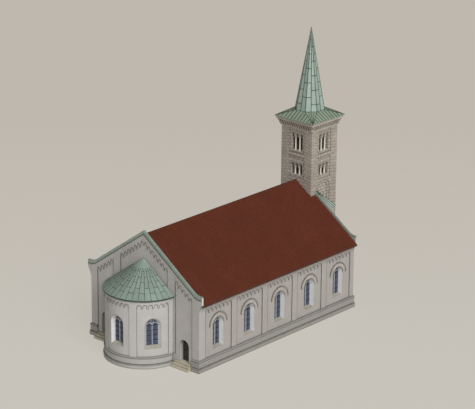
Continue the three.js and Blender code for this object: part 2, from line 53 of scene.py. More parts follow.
# ---------- places taken from the frame ----------
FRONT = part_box("front_gable")[0].y  # outer face of the gable wall at the apse end
NAVE_HALF = 7.0
NAVE_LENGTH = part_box("right_rear_wall")[1].y - FRONT
RECESS = 0.06
STRIP = 0.76
FRONT_CORNER, REAR_CORNER = 0.92, 0.60
BAYS = 5
FIELD_TOP = 6.05
FIELD_WIDTH = (NAVE_LENGTH - FRONT_CORNER - REAR_CORNER + STRIP) / BAYS - STRIP
BAY_CENTRES = FRONT_CORNER + FIELD_WIDTH / 2 + np.arange(BAYS) * (FIELD_WIDTH + STRIP)
SLOPE = 0.711
RIDGE = 11.99
EAVE_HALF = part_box("right_nave_roof")[1].x
GABLE_FIELD_TOP = 11.53
OUTER_STRIP, INNER_STRIP_OUT, INNER_STRIP_IN = 6.15, 4.0, 3.05
REAR_FIELD_IN = 3.63
PLINTH_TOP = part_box("right_plinth")[1].z
PLINTH_REACH, BASE_REACH, BASE_TOP = 0.10, 0.16, 0.36
APSE_RADIUS = 3.7
APSE_STRIP = 0.06
APSE_ROOF_RADIUS = 3.87
APSE_EAVE, APSE_APEX = 6.87, 9.66
APSE_FIELD_TOP = 6.40
APSE_WINDOWS = np.radians([-57.0, 0.0, 57.0])
APSE_FIELDS = np.radians([[-81.5, -33.0], [-22.0, 22.0], [33.0, 81.5]])
# half widths at the wall face and at the glass, sill, glass foot and springing of the windows
NAVE_WINDOW = {"half": 0.74, "glass": 0.65, "sill": 1.775, "foot": 1.93, "spring": 4.13}
APSE_WINDOW = {"half": 0.78, "glass": 0.60, "sill": 1.97, "foot": 2.19, "spring": 4.20}
GLASS_BACK = 0.54
TOWER_HALF = 1.95
TOWER_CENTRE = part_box("tower_back_wall")[1].y - TOWER_HALF
TOWER_START, TOWER_TOP = 21.92, 17.24
BELFRY_FIELD_HALF = 1.0
# top of the sunk field, sill and springing of the openings in each belfry stage
BELFRY_STAGES = ((14.45, 12.50, 13.52), (17.24, 15.00, 16.62))
BELFRY_PITCH, BELFRY_RADIUS = 0.54, 0.165
COLUMN_BACK = 0.19
SKIRT_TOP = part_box("skirt_roof")[1].z
SKIRT_LIP = 18.295
SPIRE_HALF, SPIRE_FOOT, SPIRE_APEX = 1.4, 18.97, 27.29
ANNEX_REACH, ANNEX_EAVE, ANNEX_PEAK = 1.39, 9.43, 10.98
DOOR_CENTRE, DOOR_HALF = 5.1, 0.595
PORTAL_HALF, PORTAL_SPRING, PORTAL_OUT = 0.85, 2.7, 1.23
ROOF_START, ROOF_STOP = 0.155, NAVE_LENGTH - 0.065
COPING_LEVEL_FROM, COPING_SWEEP = 6.65, 0.4
FRONT_COPING = {"rise": 0.40, "depth": 0.38, "lip": 0.03, "back": 0.18, "end": 7.39}
REAR_COPING = {"rise": 0.28, "depth": 0.23, "lip": 0.08, "back": 0.06, "end": 7.20}

# ---------- camera ----------
CAMERA_AZIMUTH, CAMERA_ELEVATION, CAMERA_ROLL = 41.54, 19.34, 0.49
CAMERA_SIDE, CAMERA_RISE, CAMERA_DISTANCE = 8.836, 14.097, 218.156
CAMERA_LENS, CAMERA_SENSOR, CAMERA_REACH = 174.39, 36.0, 2000.0


def look_from(azimuth, elevation, roll):
    """Right, up and back directions of a camera that looks at the church: azimuth turns it from
    the apse end towards the right-hand wall, elevation lifts it, roll tips it."""
    a, e, r = np.radians([azimuth, elevation, roll])
    back = np.array([np.sin(a) * np.cos(e), -np.cos(a) * np.cos(e), np.sin(e)])
    level = np.cross([0, 0, 1], back)
    level /= np.linalg.norm(level)
    rise = np.cross(back, level)
    right = np.cos(r) * level + np.sin(r) * rise
    up = np.cos(r) * rise - np.sin(r) * level
    return right, up, back


right, up, back = look_from(CAMERA_AZIMUTH, CAMERA_ELEVATION, CAMERA_ROLL)
camera = bpy.data.objects.new("camera", bpy.data.cameras.new("camera"))
bpy.context.scene.collection.objects.link(camera)
camera.data.lens = CAMERA_LENS
camera.data.sensor_width = CAMERA_SENSOR
camera.data.clip_end = CAMERA_REACH
place = CAMERA_SIDE * right + CAMERA_RISE * up + CAMERA_DISTANCE * back + [0, FRONT, 0]
turn = Matrix([list(row) for row in np.stack([right, up, back], 1)]).to_4x4()
camera.matrix_world = Matrix.Translation(Vector(place)) @ turn
bpy.context.scene.camera = camera


# ---------- shader nodes ----------
def node(tree, kind, inputs=None, **settings):
    """A node of the tree, with its settings, and its inputs given as sockets or plain values."""
    made = tree.nodes.new(kind)
    for key, value in settings.items():
        setattr(made, key, value)
    for key, value in (inputs or {}).items():
        if isinstance(value, bpy.types.NodeSocket):
            tree.links.new(value, made.inputs[key])
        else:
            made.inputs[key].default_value = value
    return made


def group(name, inputs, outputs):
    """An empty shader node group with its named sockets, and the nodes that carry them."""
    tree = bpy.data.node_groups.new(name, "ShaderNodeTree")
    for label, kind, default in inputs:
        socket = tree.interface.new_socket(label, in_out="INPUT", socket_type=kind)
        if default is not None:
            socket.default_value = default
    for label, kind in outputs:
        tree.interface.new_socket(label, in_out="OUTPUT", socket_type=kind)
    return tree, tree.nodes.new("NodeGroupInput"), tree.nodes.new("NodeGroupOutput")


FLOAT, VECTOR = "NodeSocketFloat", "NodeSocketVector"


def math(tree, operation, first, second=None, third=None, clamp=False):
    """One sum on values or sockets."""
    values = {0: first}
    if second is not None:
        values[1] = second
    if third is not None:
        values[2] = third
    made = node(tree, "ShaderNodeMath", values, operation=operation, use_clamp=clamp)
    return made.outputs[0]


def blend_colour(tree, factor, first, second, kind="MIX"):
    """Two colours mixed by a factor."""
    values = {0: factor, 6: first, 7: second}
    settings = {"data_type": "RGBA", "blend_type": kind, "clamp_factor": True}
    return node(tree, "ShaderNodeMix", values, **settings).outputs[2]


def times_grey(tree, paint, share):
    """A colour times one share for red, green and blue."""
    grey = node(tree, "ShaderNodeCombineColor", {0: share, 1: share, 2: share})
    return blend_colour(tree, 1.0, paint, grey.outputs[0], "MULTIPLY")


def vector_sum(tree, operation, first, second=None):
    """One sum on vectors."""
    values = {0: first} if second is None else {0: first, 1: second}
    return node(tree, "ShaderNodeVectorMath", values, operation=operation)


def stretch(tree, value, low, high, to_low=0.0, to_high=1.0):
    """A value carried from one range to another, held at its ends."""
    names = ("Value", "From Min", "From Max", "To Min", "To Max")
    inputs = dict(zip(names, (value, low, high, to_low, to_high)))
    return node(tree, "ShaderNodeMapRange", inputs, clamp=True).outputs[0]


STREAK_STRETCH = (3.0, 3.0, 0.28)  # a noise drawn out downwards


def make_weather_group():
    """Broad stains, fine grain and downward streaks from noise on the piece's own coordinates."""
    tree, given, out = group(
        "Weather",
        [("Vector", VECTOR, None), ("Stain Size", FLOAT, 1.0), ("Grain Size", FLOAT, 0.02)],
        [("Stain", FLOAT), ("Grain", FLOAT), ("Streak", FLOAT)],
    )
    stain_scale = math(tree, "DIVIDE", 1.0, given.outputs["Stain Size"])
    grain_scale = math(tree, "DIVIDE", 1.0, given.outputs["Grain Size"])
    where = given.outputs["Vector"]
    drawn = vector_sum(tree, "MULTIPLY", where, STREAK_STRETCH).outputs[0]
    for label, vector, scale, detail, roughness in (
        ("Stain", where, stain_scale, 4.0, 0.6),
        ("Grain", where, grain_scale, 3.0, 0.7),
        ("Streak", drawn, stain_scale, 3.0, 0.55),
    ):
        values = {"Vector": vector, "Scale": scale, "Detail": detail, "Roughness": roughness}
        noise = node(tree, "ShaderNodeTexNoise", values)
        tree.links.new(stretch(tree, noise.outputs[0], 0.3, 0.7), out.inputs[label])
    return tree


def make_corner_shade_group():
    """Painted shade that gathers in inner corners and under ledges: how closed in a point is."""
    tree, given, out = group(
        "Corner Shade", [("Reach", FLOAT, 0.3), ("Strength", FLOAT, 1.0)], [("Painted Shade", FLOAT)]
    )
    shade = node(
        tree,
        "ShaderNodeAmbientOcclusion",
        {"Distance": given.outputs["Reach"]},
        samples=8,
        only_local=False,
    )
    closed = stretch(tree, shade.outputs["AO"], 0.35, 0.92, 1.0, 0.0)
    soot = math(tree, "MULTIPLY", closed, given.outputs["Strength"], clamp=True)
    tree.links.new(soot, out.inputs["Painted Shade"])
    return tree


def make_edge_shade_group():
    """Painted shade along the edges of a piece: how far the normal, rounded over the edge, turns
    from the face's own. Level Edges is 0 for walls where only upright edges should show."""
    tree, given, out = group(
        "Edge Shade",
        [("Width", FLOAT, 0.04), ("Strength", FLOAT, 0.7), ("Level Edges", FLOAT, 1.0)],
        [("Line", FLOAT)],
    )
    rounded = node(tree, "ShaderNodeBevel", {"Radius": given.outputs["Width"]}, samples=6)
    geometry = node(tree, "ShaderNodeNewGeometry")
    keep = node(tree, "ShaderNodeCombineXYZ", {0: 1.0, 1: 1.0, 2: given.outputs["Level Edges"]})
    kept = vector_sum(tree, "MULTIPLY", rounded.outputs[0], keep.outputs[0])
    kept = vector_sum(tree, "NORMALIZE", kept.outputs[0])
    face_normal = geometry.outputs["True Normal"]
    same = vector_sum(tree, "DOT_PRODUCT", kept.outputs[0], face_normal)
    turned_off = stretch(tree, same.outputs["Value"], 0.72, 0.99, 1.0, 0.0)
    line = math(tree, "MULTIPLY", turned_off, given.outputs["Strength"], clamp=True)
    tree.links.new(line, out.inputs["Line"])
    return tree


def make_course_group():
    """Squared stones in level courses: the along-wall distance is x or y by the way the wall
    faces, the height is z. Gives the joints and a shade for each stone."""
    tree, given, out = group(
        "Courses",
        [
            ("Vector", VECTOR, None),
            ("Stone Length", FLOAT, 0.6),
            ("Course Height", FLOAT, 0.3),
            ("Joint", FLOAT, 0.012),
        ],
        [("Joints", FLOAT), ("Shade", FLOAT)],
    )
    split = node(tree, "ShaderNodeSeparateXYZ", {0: given.outputs["Vector"]})
    geometry = node(tree, "ShaderNodeNewGeometry")
    faces = node(tree, "ShaderNodeSeparateXYZ", {0: geometry.outputs["True Normal"]})
    sideways = math(
        tree, "GREATER_THAN", math(tree, "ABSOLUTE", faces.outputs[0]), 0.6
    )
    along = node(
        tree,
        "ShaderNodeMix",
        {0: sideways, 2: split.outputs[0], 3: split.outputs[1]},
        data_type="FLOAT",
    )
    flat = node(
        tree, "ShaderNodeCombineXYZ", {0: along.outputs[0], 1: split.outputs[2], 2: 0.0}
    )
    bricks = node(
        tree,
        "ShaderNodeTexBrick",
        {
            "Vector": flat.outputs[0],
            "Color1": (0, 0, 0, 1),
            "Color2": (1, 1, 1, 1),
            "Mortar": (0.5, 0.5, 0.5, 1),
            "Scale": 1.0,
            "Mortar Size": given.outputs["Joint"],
            "Mortar Smooth": 0.3,
            "Brick Width": given.outputs["Stone Length"],
            "Row Height": given.outputs["Course Height"],
        },
    )
    tree.links.new(bricks.outputs["Fac"], out.inputs["Joints"])
    tree.links.new(bricks.outputs["Color"], out.inputs["Shade"])
    return tree


WEATHER = make_weather_group()
CORNER_SHADE = make_corner_shade_group()
EDGE_SHADE = make_edge_shade_group()
COURSES = make_course_group()


def use(tree, source, inputs):
    """A placed node group with its own values."""
    return node(tree, "ShaderNodeGroup", inputs, node_tree=source)


def shade_of(colour, amount):
    """A colour made lighter or darker by a share."""
    return tuple(min(1.0, c * amount) for c in colour[:3]) + (1.0,)


def finish_of(
    name,
    colour,
    roughness,
    spread=0.12,
    stain_size=1.2,
    grain_size=0.03,
    bump=0.004,
    soot=0.5,
    soot_reach=0.35,
    soot_colour=(0.05, 0.045, 0.035, 1.0),
    courses=None,
    tone=0.0,
    streak=0.3,
    line=0.0,
    line_width=0.04,
    level_edges=1.0,
    **plain,
):
    """A weathered finish: a base colour with stains and streaks, painted shade in the corners and
    along edges, courses of stone where asked, and a lighter or darker tone for each separate
    stone or sheet."""
    material = bpy.data.materials.new(name)
    material.use_nodes = True
    tree = material.node_tree
    shader = tree.nodes["Principled BSDF"]
    where = node(tree, "ShaderNodeTexCoord").outputs["Object"]
    weather = use(
        tree,
        WEATHER,
        {"Vector": where, "Stain Size": stain_size, "Grain Size": grain_size},
    )
    light, dark = shade_of(colour, 1 + spread), shade_of(colour, 1 - spread)
    paint = blend_colour(tree, weather.outputs["Stain"], dark, light)
    height = weather.outputs["Grain"]
    if courses:
        stone_length, course_height, joint, joint_share, stone_share = courses
        laid = use(
            tree,
            COURSES,
            {
                "Vector": where,
                "Stone Length": stone_length,
                "Course Height": course_height,
                "Joint": joint,
            },
        )
        stone = stretch(
            tree, laid.outputs["Shade"], 0.0, 1.0, 1 - stone_share, 1 + stone_share
        )
        paint = times_grey(tree, paint, stone)
        joint_mask = math(tree, "MULTIPLY", laid.outputs["Joints"], joint_share)
        paint = blend_colour(tree, joint_mask, paint, soot_colour)
        sunk = math(tree, "MULTIPLY", laid.outputs["Joints"], -3.0)
        height = math(tree, "ADD", height, sunk)
    if tone:
        own = node(
            tree, "ShaderNodeAttribute", attribute_name="tone", attribute_type="GEOMETRY"
        ).outputs["Fac"]
        share = stretch(tree, own, 0.0, 1.0, 1 - tone, 1 + tone)
        paint = times_grey(tree, paint, share)
    if streak:
        runs = stretch(tree, weather.outputs["Streak"], 0.45, 1.0, 0.0, streak)
        paint = blend_colour(tree, runs, paint, shade_of(colour, 0.55))
    # Painted shade: darker in inner corners, recesses and under ledges, from ambient occlusion.
    if soot:
        corner = use(tree, CORNER_SHADE, {"Reach": soot_reach, "Strength": soot})
        paint = blend_colour(tree, corner.outputs["Painted Shade"], paint, soot_colour)
    # Painted shade: dark lines along convex and inner edges, as strong as line.
    if line:
        edge = use(
            tree, EDGE_SHADE, {"Width": line_width, "Strength": line, "Level Edges": level_edges}
        )
        paint = blend_colour(tree, edge.outputs["Line"], paint, soot_colour)
    tree.links.new(paint, shader.inputs["Base Color"])
    rough = stretch(
        tree, weather.outputs["Grain"], 0.0, 1.0, max(roughness - 0.12, 0.0), roughness
    )
    tree.links.new(rough, shader.inputs["Roughness"])
    relief = node(tree, "ShaderNodeBump", {"Height": height, "Distance": bump})
    tree.links.new(relief.outputs[0], shader.inputs["Normal"])
    for socket, value in plain.items():
        shader.inputs[socket.replace("_", " ")].default_value = value
    return material


WARM_PLASTER, GABLE_PLASTER = (0.415, 0.396, 0.38), (0.455, 0.44, 0.43)
# Colour of the painted shade in the corners of copper.
COPPER_SHADE_COLOUR = (0.05, 0.08, 0.06, 1.0)
# In these sets, line is the strength of the dark lines of painted shade along edges.
PLASTER = {"spread": 0.05, "soot_reach": 0.14, "streak": 0.10, "line": 0.6}
WALL = {"soot": 0.32, "line_width": 0.06, "level_edges": 0.0}
PLINTH = {
    "spread": 0.05,
    "soot": 0.9,
    "soot_reach": 0.16,
    "streak": 0.06,
    "line": 0.9,
    "line_width": 0.05,
}
CARVED = {"tone": 0.08, "soot_reach": 0.12, "line": 0.4}
COPPER = {"soot": 0.3, "soot_reach": 0.1, "soot_colour": COPPER_SHADE_COLOUR, "Metallic": 0.1}
SHEET = {"spread": 0.08, "stain_size": 0.8}
plaster = finish_of("warm_grey_plaster", WARM_PLASTER, 0.9, soot=0.6, line_width=0.05, **PLASTER)
wall_plaster = finish_of("warm_grey_wall_plaster", WARM_PLASTER, 0.9, **PLASTER, **WALL)
gable_plaster = finish_of("warm_grey_gable_plaster", GABLE_PLASTER, 0.9, **PLASTER, **WALL)
apse_plaster = finish_of(
    "light_grey_plaster", (0.49, 0.485, 0.485), 0.9, soot=0.6, line_width=0.045, **PLASTER
)
reveal_plaster = finish_of(
    "white_reveal_plaster", (0.70, 0.71, 0.72), 0.85, spread=0.03, soot=0.0, streak=0.06
)
sill_stone = finish_of(
    "grey_sill_stone", (0.40, 0.38, 0.33), 0.85, spread=0.06, soot=0.3, soot_reach=0.1
)
ring_stone = finish_of(
    "window_ring_stone",
    (0.50, 0.475, 0.44),
    0.85,
    spread=0.05,
    tone=0.09,
    soot=0.8,
    soot_reach=0.12,
    bump=0.006,
    line=0.55,
    line_width=0.035,
)
grey_stone = finish_of("grey_plinth_stone", (0.325, 0.318, 0.302), 0.85, **PLINTH)
apse_base_stone = finish_of("light_grey_plinth_stone", (0.42, 0.418, 0.415), 0.85, **PLINTH)
pale_stone = finish_of(
    "pale_yellow_stone",
    (0.60, 0.55, 0.44),
    0.8,
    spread=0.08,
    tone=0.05,
    soot=0.5,
    soot_reach=0.2,
    line=0.3,
)
tower_stone = finish_of(
    "grey_brown_tower_stone",
    (0.46, 0.41, 0.365),
    0.88,
    spread=0.07,
    courses=(0.55, 0.32, 0.042, 0.5, 0.08),
    soot=0.4,
    soot_reach=0.16,
    line=0.2,
)
belfry_stone = finish_of("belfry_stone", (0.43, 0.39, 0.34), 0.86, soot=0.6, **CARVED)
quoin_stone = finish_of(
    "tower_quoin_stone",
    (0.415, 0.37, 0.325),
    0.86,
    spread=0.07,
    tone=0.10,
    soot=0.9,
    soot_reach=0.1,
    line=1.0,
    line_width=0.045,
)
corbel_stone = finish_of("corbel_stone", (0.56, 0.51, 0.45), 0.86, soot=0.5, **CARVED)
# Near black strips of painted shade, laid along friezes, field sides, window rings, plinths and
# corbels.
painted_shade_strip = finish_of("painted_shade_strip", (0.12, 0.11, 0.10), 0.9)
marble = finish_of(
    "cream_column_stone", (0.74, 0.70, 0.61), 0.6, spread=0.05, soot=0.2, soot_reach=0.1
)
copper_sheet = finish_of(
    "green_copper_sheet", (0.36, 0.46, 0.41), 0.62, tone=0.08, streak=0.2, **SHEET, **COPPER
)
apse_copper = finish_of(
    "apse_copper_sheet", (0.265, 0.345, 0.295), 0.62, tone=0.09, streak=0.2, **SHEET, **COPPER
)
skirt_copper = finish_of(
    "olive_green_skirt_copper", (0.31, 0.385, 0.295), 0.62, tone=0.06, **SHEET, **COPPER
)
coping_copper = finish_of(
    "grey_green_coping_copper", (0.30, 0.36, 0.31), 0.65, stain_size=0.6, **COPPER
)
copper_seam = finish_of("dark_copper_seam", (0.06, 0.088, 0.068), 0.65, spread=0.15, **COPPER)
roof_tile = finish_of(
    "dark_red_roof_tile",
    (0.115, 0.029, 0.014),
    0.8,
    spread=0.09,
    stain_size=2.5,
    tone=0.05,
    soot=0.15,
    soot_reach=0.04,
    soot_colour=(0.03, 0.012, 0.008, 1.0),
    streak=0.10,
    Specular_IOR_Level=0.2,
)
# Painted shade: the board under the eave is near black, as the shade under the roof edge.
eave_board_shade = finish_of("eave_board_painted_shade", (0.07, 0.028, 0.018), 0.8, grain_size=0.05, soot=0.2)
lead = finish_of("white_tracery", (0.50, 0.52, 0.55), 0.6, spread=0.1, soot=0.2, soot_reach=0.08)
iron = finish_of("black_iron", (0.02, 0.02, 0.022), 0.55, spread=0.2, soot=0.0, Metallic=0.6)
oak = finish_of(
    "dark_oak",
    (0.036, 0.034, 0.030),
    0.7,
    spread=0.2,
    grain_size=0.05,
    tone=0.2,
    soot=0.4,
    soot_reach=0.1,
)
# Dark wood, made near black so that the louvres also stand for the shade inside the belfry
# openings: partly painted shade.
louvre_wood_and_shade = finish_of("louvre_wood_and_shade", (0.045, 0.038, 0.03), 0.8, tone=0.2, soot=0.5)
floor_stone = finish_of(
    "hall_floor_stone", (0.3, 0.28, 0.25), 0.7, courses=(0.8, 0.8, 0.01, 0.5, 0.1), soot=0.3
)


def make_leaded_glass():
    """Dark blue glass cut in small panes, each a little lighter or darker, with thin lead lines:
    a brick pattern on the window's own width and height, set out straight."""
    material = bpy.data.materials.new("dark_leaded_glass")
    material.use_nodes = True
    tree = material.node_tree
    shader = tree.nodes["Principled BSDF"]
    where = node(tree, "ShaderNodeTexCoord").outputs["Object"]
    panes = use(
        tree,
        COURSES,
        {"Vector": where, "Stone Length": 0.17, "Course Height": 0.19, "Joint": 0.007},
    )
    glass = blend_colour(
        tree, panes.outputs["Shade"], (0.056, 0.074, 0.125, 1.0), (0.09, 0.112, 0.185, 1.0)
    )
    leaded = blend_colour(tree, panes.outputs["Joints"], glass, (0.03, 0.034, 0.045, 1.0))
    # Painted shade: the glass darkens towards the tracery and the edges of the window.
    corner = use(tree, CORNER_SHADE, {"Reach": 0.2, "Strength": 0.4})
    leaded = blend_colour(tree, corner.outputs["Painted Shade"], leaded, (0.008, 0.01, 0.015, 1.0))
    tree.links.new(leaded, shader.inputs["Base Color"])
    rough = stretch(tree, panes.outputs["Joints"], 0.0, 1.0, 0.22, 0.7)
    tree.links.new(rough, shader.inputs["Roughness"])
    ripple = use(tree, WEATHER, {"Vector": where, "Stain Size": 0.15, "Grain Size": 0.05})
    relief = node(
        tree, "ShaderNodeBump", {"Height": ripple.outputs["Stain"], "Distance": 0.004}
    )
    tree.links.new(relief.outputs[0], shader.inputs["Normal"])
    return material


leaded_glass = make_leaded_glass()


# ---------- surfaces from arrays ----------
def sheet_of(points, caps=True):
    """Corners and faces of many like surfaces at once. Points are (count, rows, columns, 3): the
    columns run round a section, which closes on itself, and the rows run along it. Caps close
    the two ends. Each of them gets its own tone from 0 to 1."""
    points = np.asarray(points, float)
    if points.ndim == 3:
        points = points[None]
    count, rows, columns = points.shape[:3]
    row = np.arange(rows - 1)[:, None]
    column = np.arange(columns)[None, :]
    following = (column + 1) % columns
    quads = np.stack(
        [
            row * columns + column,
            row * columns + following,
            (row + 1) * columns + following,
            (row + 1) * columns + column,
        ],
        -1,
    ).reshape(-1, 4)
    step = rows * columns
    shift = (np.arange(count) * step)[:, None, None]
    faces = (quads[None] + shift).reshape(-1, 4).tolist()
    if caps:
        first = np.arange(columns)[::-1]
        last = (rows - 1) * columns + np.arange(columns)
        ends = np.stack([first, last])
        faces += (ends[None] + shift).reshape(-1, columns).tolist()
    tone = np.repeat(chance.random(count) if count > 1 else [0.5], step)
    return points.reshape(-1, 3), faces, tone


def piece(name, parts, material, body="building", bevel=0.0, smooth=False):
    """One object from several surfaces, joined, its faces turned outwards."""
    corners, faces, tones, start = [], [], [], 0
    for points, part_faces, tone in parts:
        corners.append(points)
        faces += [[index + start for index in face] for face in part_faces]
        tones.append(tone)
        start += len(points)
    mesh = bpy.data.meshes.new(name)
    mesh.from_pydata(np.concatenate(corners), [], faces)
    own = mesh.attributes.new("tone", "FLOAT", "POINT")
    own.data.foreach_set("value", np.concatenate(tones).astype(np.float32))
    form = bmesh.new()
    form.from_mesh(mesh)
    bmesh.ops.dissolve_degenerate(form, edges=form.edges, dist=1e-5)
    bmesh.ops.recalc_face_normals(form, faces=form.faces)
    form.to_mesh(mesh)
    form.free()
    if smooth:
        mesh.shade_smooth()
        mesh.set_sharp_from_angle(angle=np.radians(35))
    mesh.materials.append(material)
    made = bpy.data.objects.new(name, mesh)
    bpy.context.scene.collection.objects.link(made)
    if bevel:
        rounding = made.modifiers.new("edge", "BEVEL")
        rounding.width = bevel
        rounding.segments = 1
        rounding.limit_method = "ANGLE"
    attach(made, body)
    return made


def blocks(low, high, place=None):
    """Many box-shaped stones from their lowest and highest corners, (count, 3) each. A place
    function carries the corners to the wall they belong to."""
    low, high = np.broadcast_arrays(np.asarray(low, float), np.asarray(high, float))
    low, high = np.atleast_2d(low), np.atleast_2d(high)
    ring = np.array([[0, 0], [1, 0], [1, 1], [0, 1]])
    u = low[:, None, 0] + (high - low)[:, None, 0] * ring[:, 0]
    w = low[:, None, 2] + (high - low)[:, None, 2] * ring[:, 1]
    near = np.stack([u, np.broadcast_to(low[:, None, 1], u.shape), w], -1)
    far = np.stack([u, np.broadcast_to(high[:, None, 1], u.shape), w], -1)
    points = np.stack([near, far], 1)
    if place:
        points = place(points[..., 0], points[..., 1], points[..., 2])
    return sheet_of(points)


def carried(path, profile, place):
    """A profile carried along a straight or curved run: path is the distance along the wall,
    profile is (reach, height) pairs in order round the section."""
    path, profile = np.asarray(path, float), np.asarray(profile, float)
    u = np.broadcast_to(path[:, None], (len(path), len(profile)))
    d = np.broadcast_to(profile[None, :, 0], u.shape)
    z = np.broadcast_to(profile[None, :, 1], u.shape)
    return sheet_of(place(u, d, z))


def between(u, low, high, near, far, place):
    """A flat plate on a wall between a lower and an upper line over u, from reach near to far."""
    u, low, high = (np.asarray(v, float) for v in np.broadcast_arrays(u, low, high))
    z = np.stack([low, high, high, low], 1)
    d = np.broadcast_to(np.array([far, far, near, near]), z.shape)
    return sheet_of(place(np.broadcast_to(u[:, None], z.shape), d, z))


def arch_line(centre, radius, spring, steps=12):
    """Points of a half circle over a springing height, from right to left."""
    t = np.linspace(0, np.pi, steps + 1)
    return np.stack([centre + radius * np.cos(t), spring + radius * np.sin(t)], 1)


def ribbon(line, width, near, far, place, closed=False):
    """A bar of square section that follows a line of (along, height) points on a wall: each
    point is offset half a width to both sides along the line's own normal."""
    line = np.asarray(line, float)
    if closed:
        step = np.roll(line, -1, 0) - np.roll(line, 1, 0)
    else:
        step = np.gradient(line, axis=0)
    step /= np.linalg.norm(step, axis=1, keepdims=True)
    across = np.stack([-step[:, 1], step[:, 0]], 1) * width / 2
    left, right_edge = line + across, line - across
    u = np.stack([left[:, 0], right_edge[:, 0], right_edge[:, 0], left[:, 0]], 1)
    z = np.stack([left[:, 1], right_edge[:, 1], right_edge[:, 1], left[:, 1]], 1)
    d = np.broadcast_to(np.array([far, far, near, near]), u.shape)
    points = place(u, d, z)
    if closed:
        points = np.concatenate([points, points[:1]])
    return sheet_of(points, caps=not closed)


def ring_stones(centre, spring, inner, outer, near, far, count, gap, place):
    """The wedge stones of an arch: each is a sector of a ring, with a gap to the next one."""
    edges = np.linspace(0, np.pi, count + 1)
    gap_angle = gap / (inner + outer)
    share = np.linspace(0, 1, 4)
    t = edges[:-1, None] + gap_angle + (edges[1:] - edges[:-1] - 2 * gap_angle)[:, None] * share
    r = np.array([inner, outer, outer, inner])
    u = centre + r * np.cos(t)[..., None]
    z = spring + r * np.sin(t)[..., None]
    d = np.broadcast_to(np.array([far, far, near, near]), u.shape)
    return sheet_of(place(u, d, z))


def turned(profile, centre, steps=12):
    """A round column or knob: a (radius, height) profile turned about an upright axis."""
    profile = np.asarray(profile, float)
    t = np.linspace(0, 2 * np.pi, steps, endpoint=False)
    r, z = profile[:, :1], profile[:, 1:]
    points = np.stack(
        [r * np.cos(t) + centre[0], r * np.sin(t) + centre[1], z + 0 * t], -1
    )
    return sheet_of(points)


# ---------- the walls as places: along, reach outwards, height ----------
def long_wall(side):
    """Along is the distance from the apse-end gable's outer face."""
    return lambda u, d, z: np.stack([side * (NAVE_HALF + d), FRONT + u, z + 0 * u], -1)


def front_wall(u, d, z):
    """Along is the distance from the middle, to the right, on the apse-end gable."""
    return np.stack([u, FRONT - d + 0 * u, z + 0 * u], -1)


def rear_wall(u, d, z):
    """The same on the tower-end gable."""
    return np.stack([u, FRONT + NAVE_LENGTH + d + 0 * u, z + 0 * u], -1)


def apse_wall(u, d, z):
    """The along distance runs round the apse from its middle, measured on the wall face."""
    r, angle = APSE_RADIUS + d, u / APSE_RADIUS
    return np.stack([r * np.sin(angle), FRONT - r * np.cos(angle), z + 0 * u], -1)


def apse_window_wall(angle):
    """A flat wall that touches the apse's round at one angle."""
    sine, cosine = np.sin(angle), np.cos(angle)

    def place(u, d, z):
        r = APSE_RADIUS + d
        return np.stack([r * sine + u * cosine, FRONT - r * cosine + u * sine, z + 0 * u], -1)

    return place


def tower_wall(face):
    """The tower's faces, turned about its axis: 0 looks to the apse, 1 to the right."""
    sine, cosine = np.sin(face * np.pi / 2), np.cos(face * np.pi / 2)

    def place(u, d, z):
        r = TOWER_HALF + d
        x, y = u * cosine + r * sine, u * sine - r * cosine
        return np.stack([x, TOWER_CENTRE + y, z + 0 * u], -1)

    return place


# ---------- arch friezes ----------
frieze_shade_strips, field_shade_strips = [], []


def arch_frieze(
    left, right_end, count, top, place, depth, web=0.13, drop=0.19, sunk=0.006, with_shade_strip=True
):
    """A band of small round arches that hangs in the head of a sunk field. The lower line is
    count half circles with plain feet between them, and the upper line is the field's own top,
    level or raking. Each arch is upright, and on a raking top it sits below the lower end. A
    narrow dark strip of painted shade follows the lower line."""
    pitch = (right_end - left) / count
    radius = (pitch - web) / 2
    middle = left + pitch * (np.arange(count) + 0.5)
    crown = np.minimum(top(middle - radius), top(middle + radius)) - 0.02
    crown = np.maximum(crown, top(middle) - 0.16)
    t = np.linspace(np.pi, 0, 9)
    toe = np.linspace(0, 0.5 * np.pi, 4)
    toe_u = radius + web / 2 * (1 - np.cos(toe))
    toe_z = (crown - radius - drop)[:, None] + web / 2 * (1 - np.sin(toe))
    u = middle[:, None] + np.concatenate([-toe_u[::-1], radius * np.cos(t), toe_u])
    arc = crown[:, None] - radius + radius * np.sin(t)
    low = np.concatenate([toe_z[:, ::-1], arc, toe_z], 1)
    u, low = u.reshape(-1), low.reshape(-1)
    if with_shade_strip:
        line = np.stack([u, low], 1)
        line = line[np.append(True, np.linalg.norm(np.diff(line, axis=0), axis=1) > 1e-4)]
        # Painted shade: a dark strip along the lower line of the arches.
        frieze_shade_strips.append(ribbon(line, FRIEZE_SHADE_WIDTH, -sunk - 0.012, -sunk + 0.004, place))
    return between(u, low, np.maximum(top(u), low + 0.004), -depth, -sunk, place)


def upright_shade_strips(u, foot, top, place, depth):
    """Thin dark strips of painted shade up both sides of the sunk fields."""
    u = np.asarray(u, float).reshape(-1)
    low = np.stack([u - FIELD_SHADE_WIDTH / 2, 0 * u - depth, 0 * u + foot], 1)
    high = np.stack([u + FIELD_SHADE_WIDTH / 2, 0 * u + 0.004, top(u)], 1)
    return blocks(low, high, place)


def level(height):
    """A top line at one height."""
    return lambda u: height + 0 * np.asarray(u)


def raking(u):
    """A top line that falls from the middle with the roof."""
    return GABLE_FIELD_TOP - SLOPE * np.abs(u)


NAVE_FRIEZE_ARCHES, APSE_FRIEZE_ARCHES, BELFRY_FRIEZE_ARCHES = 7, 6, 7
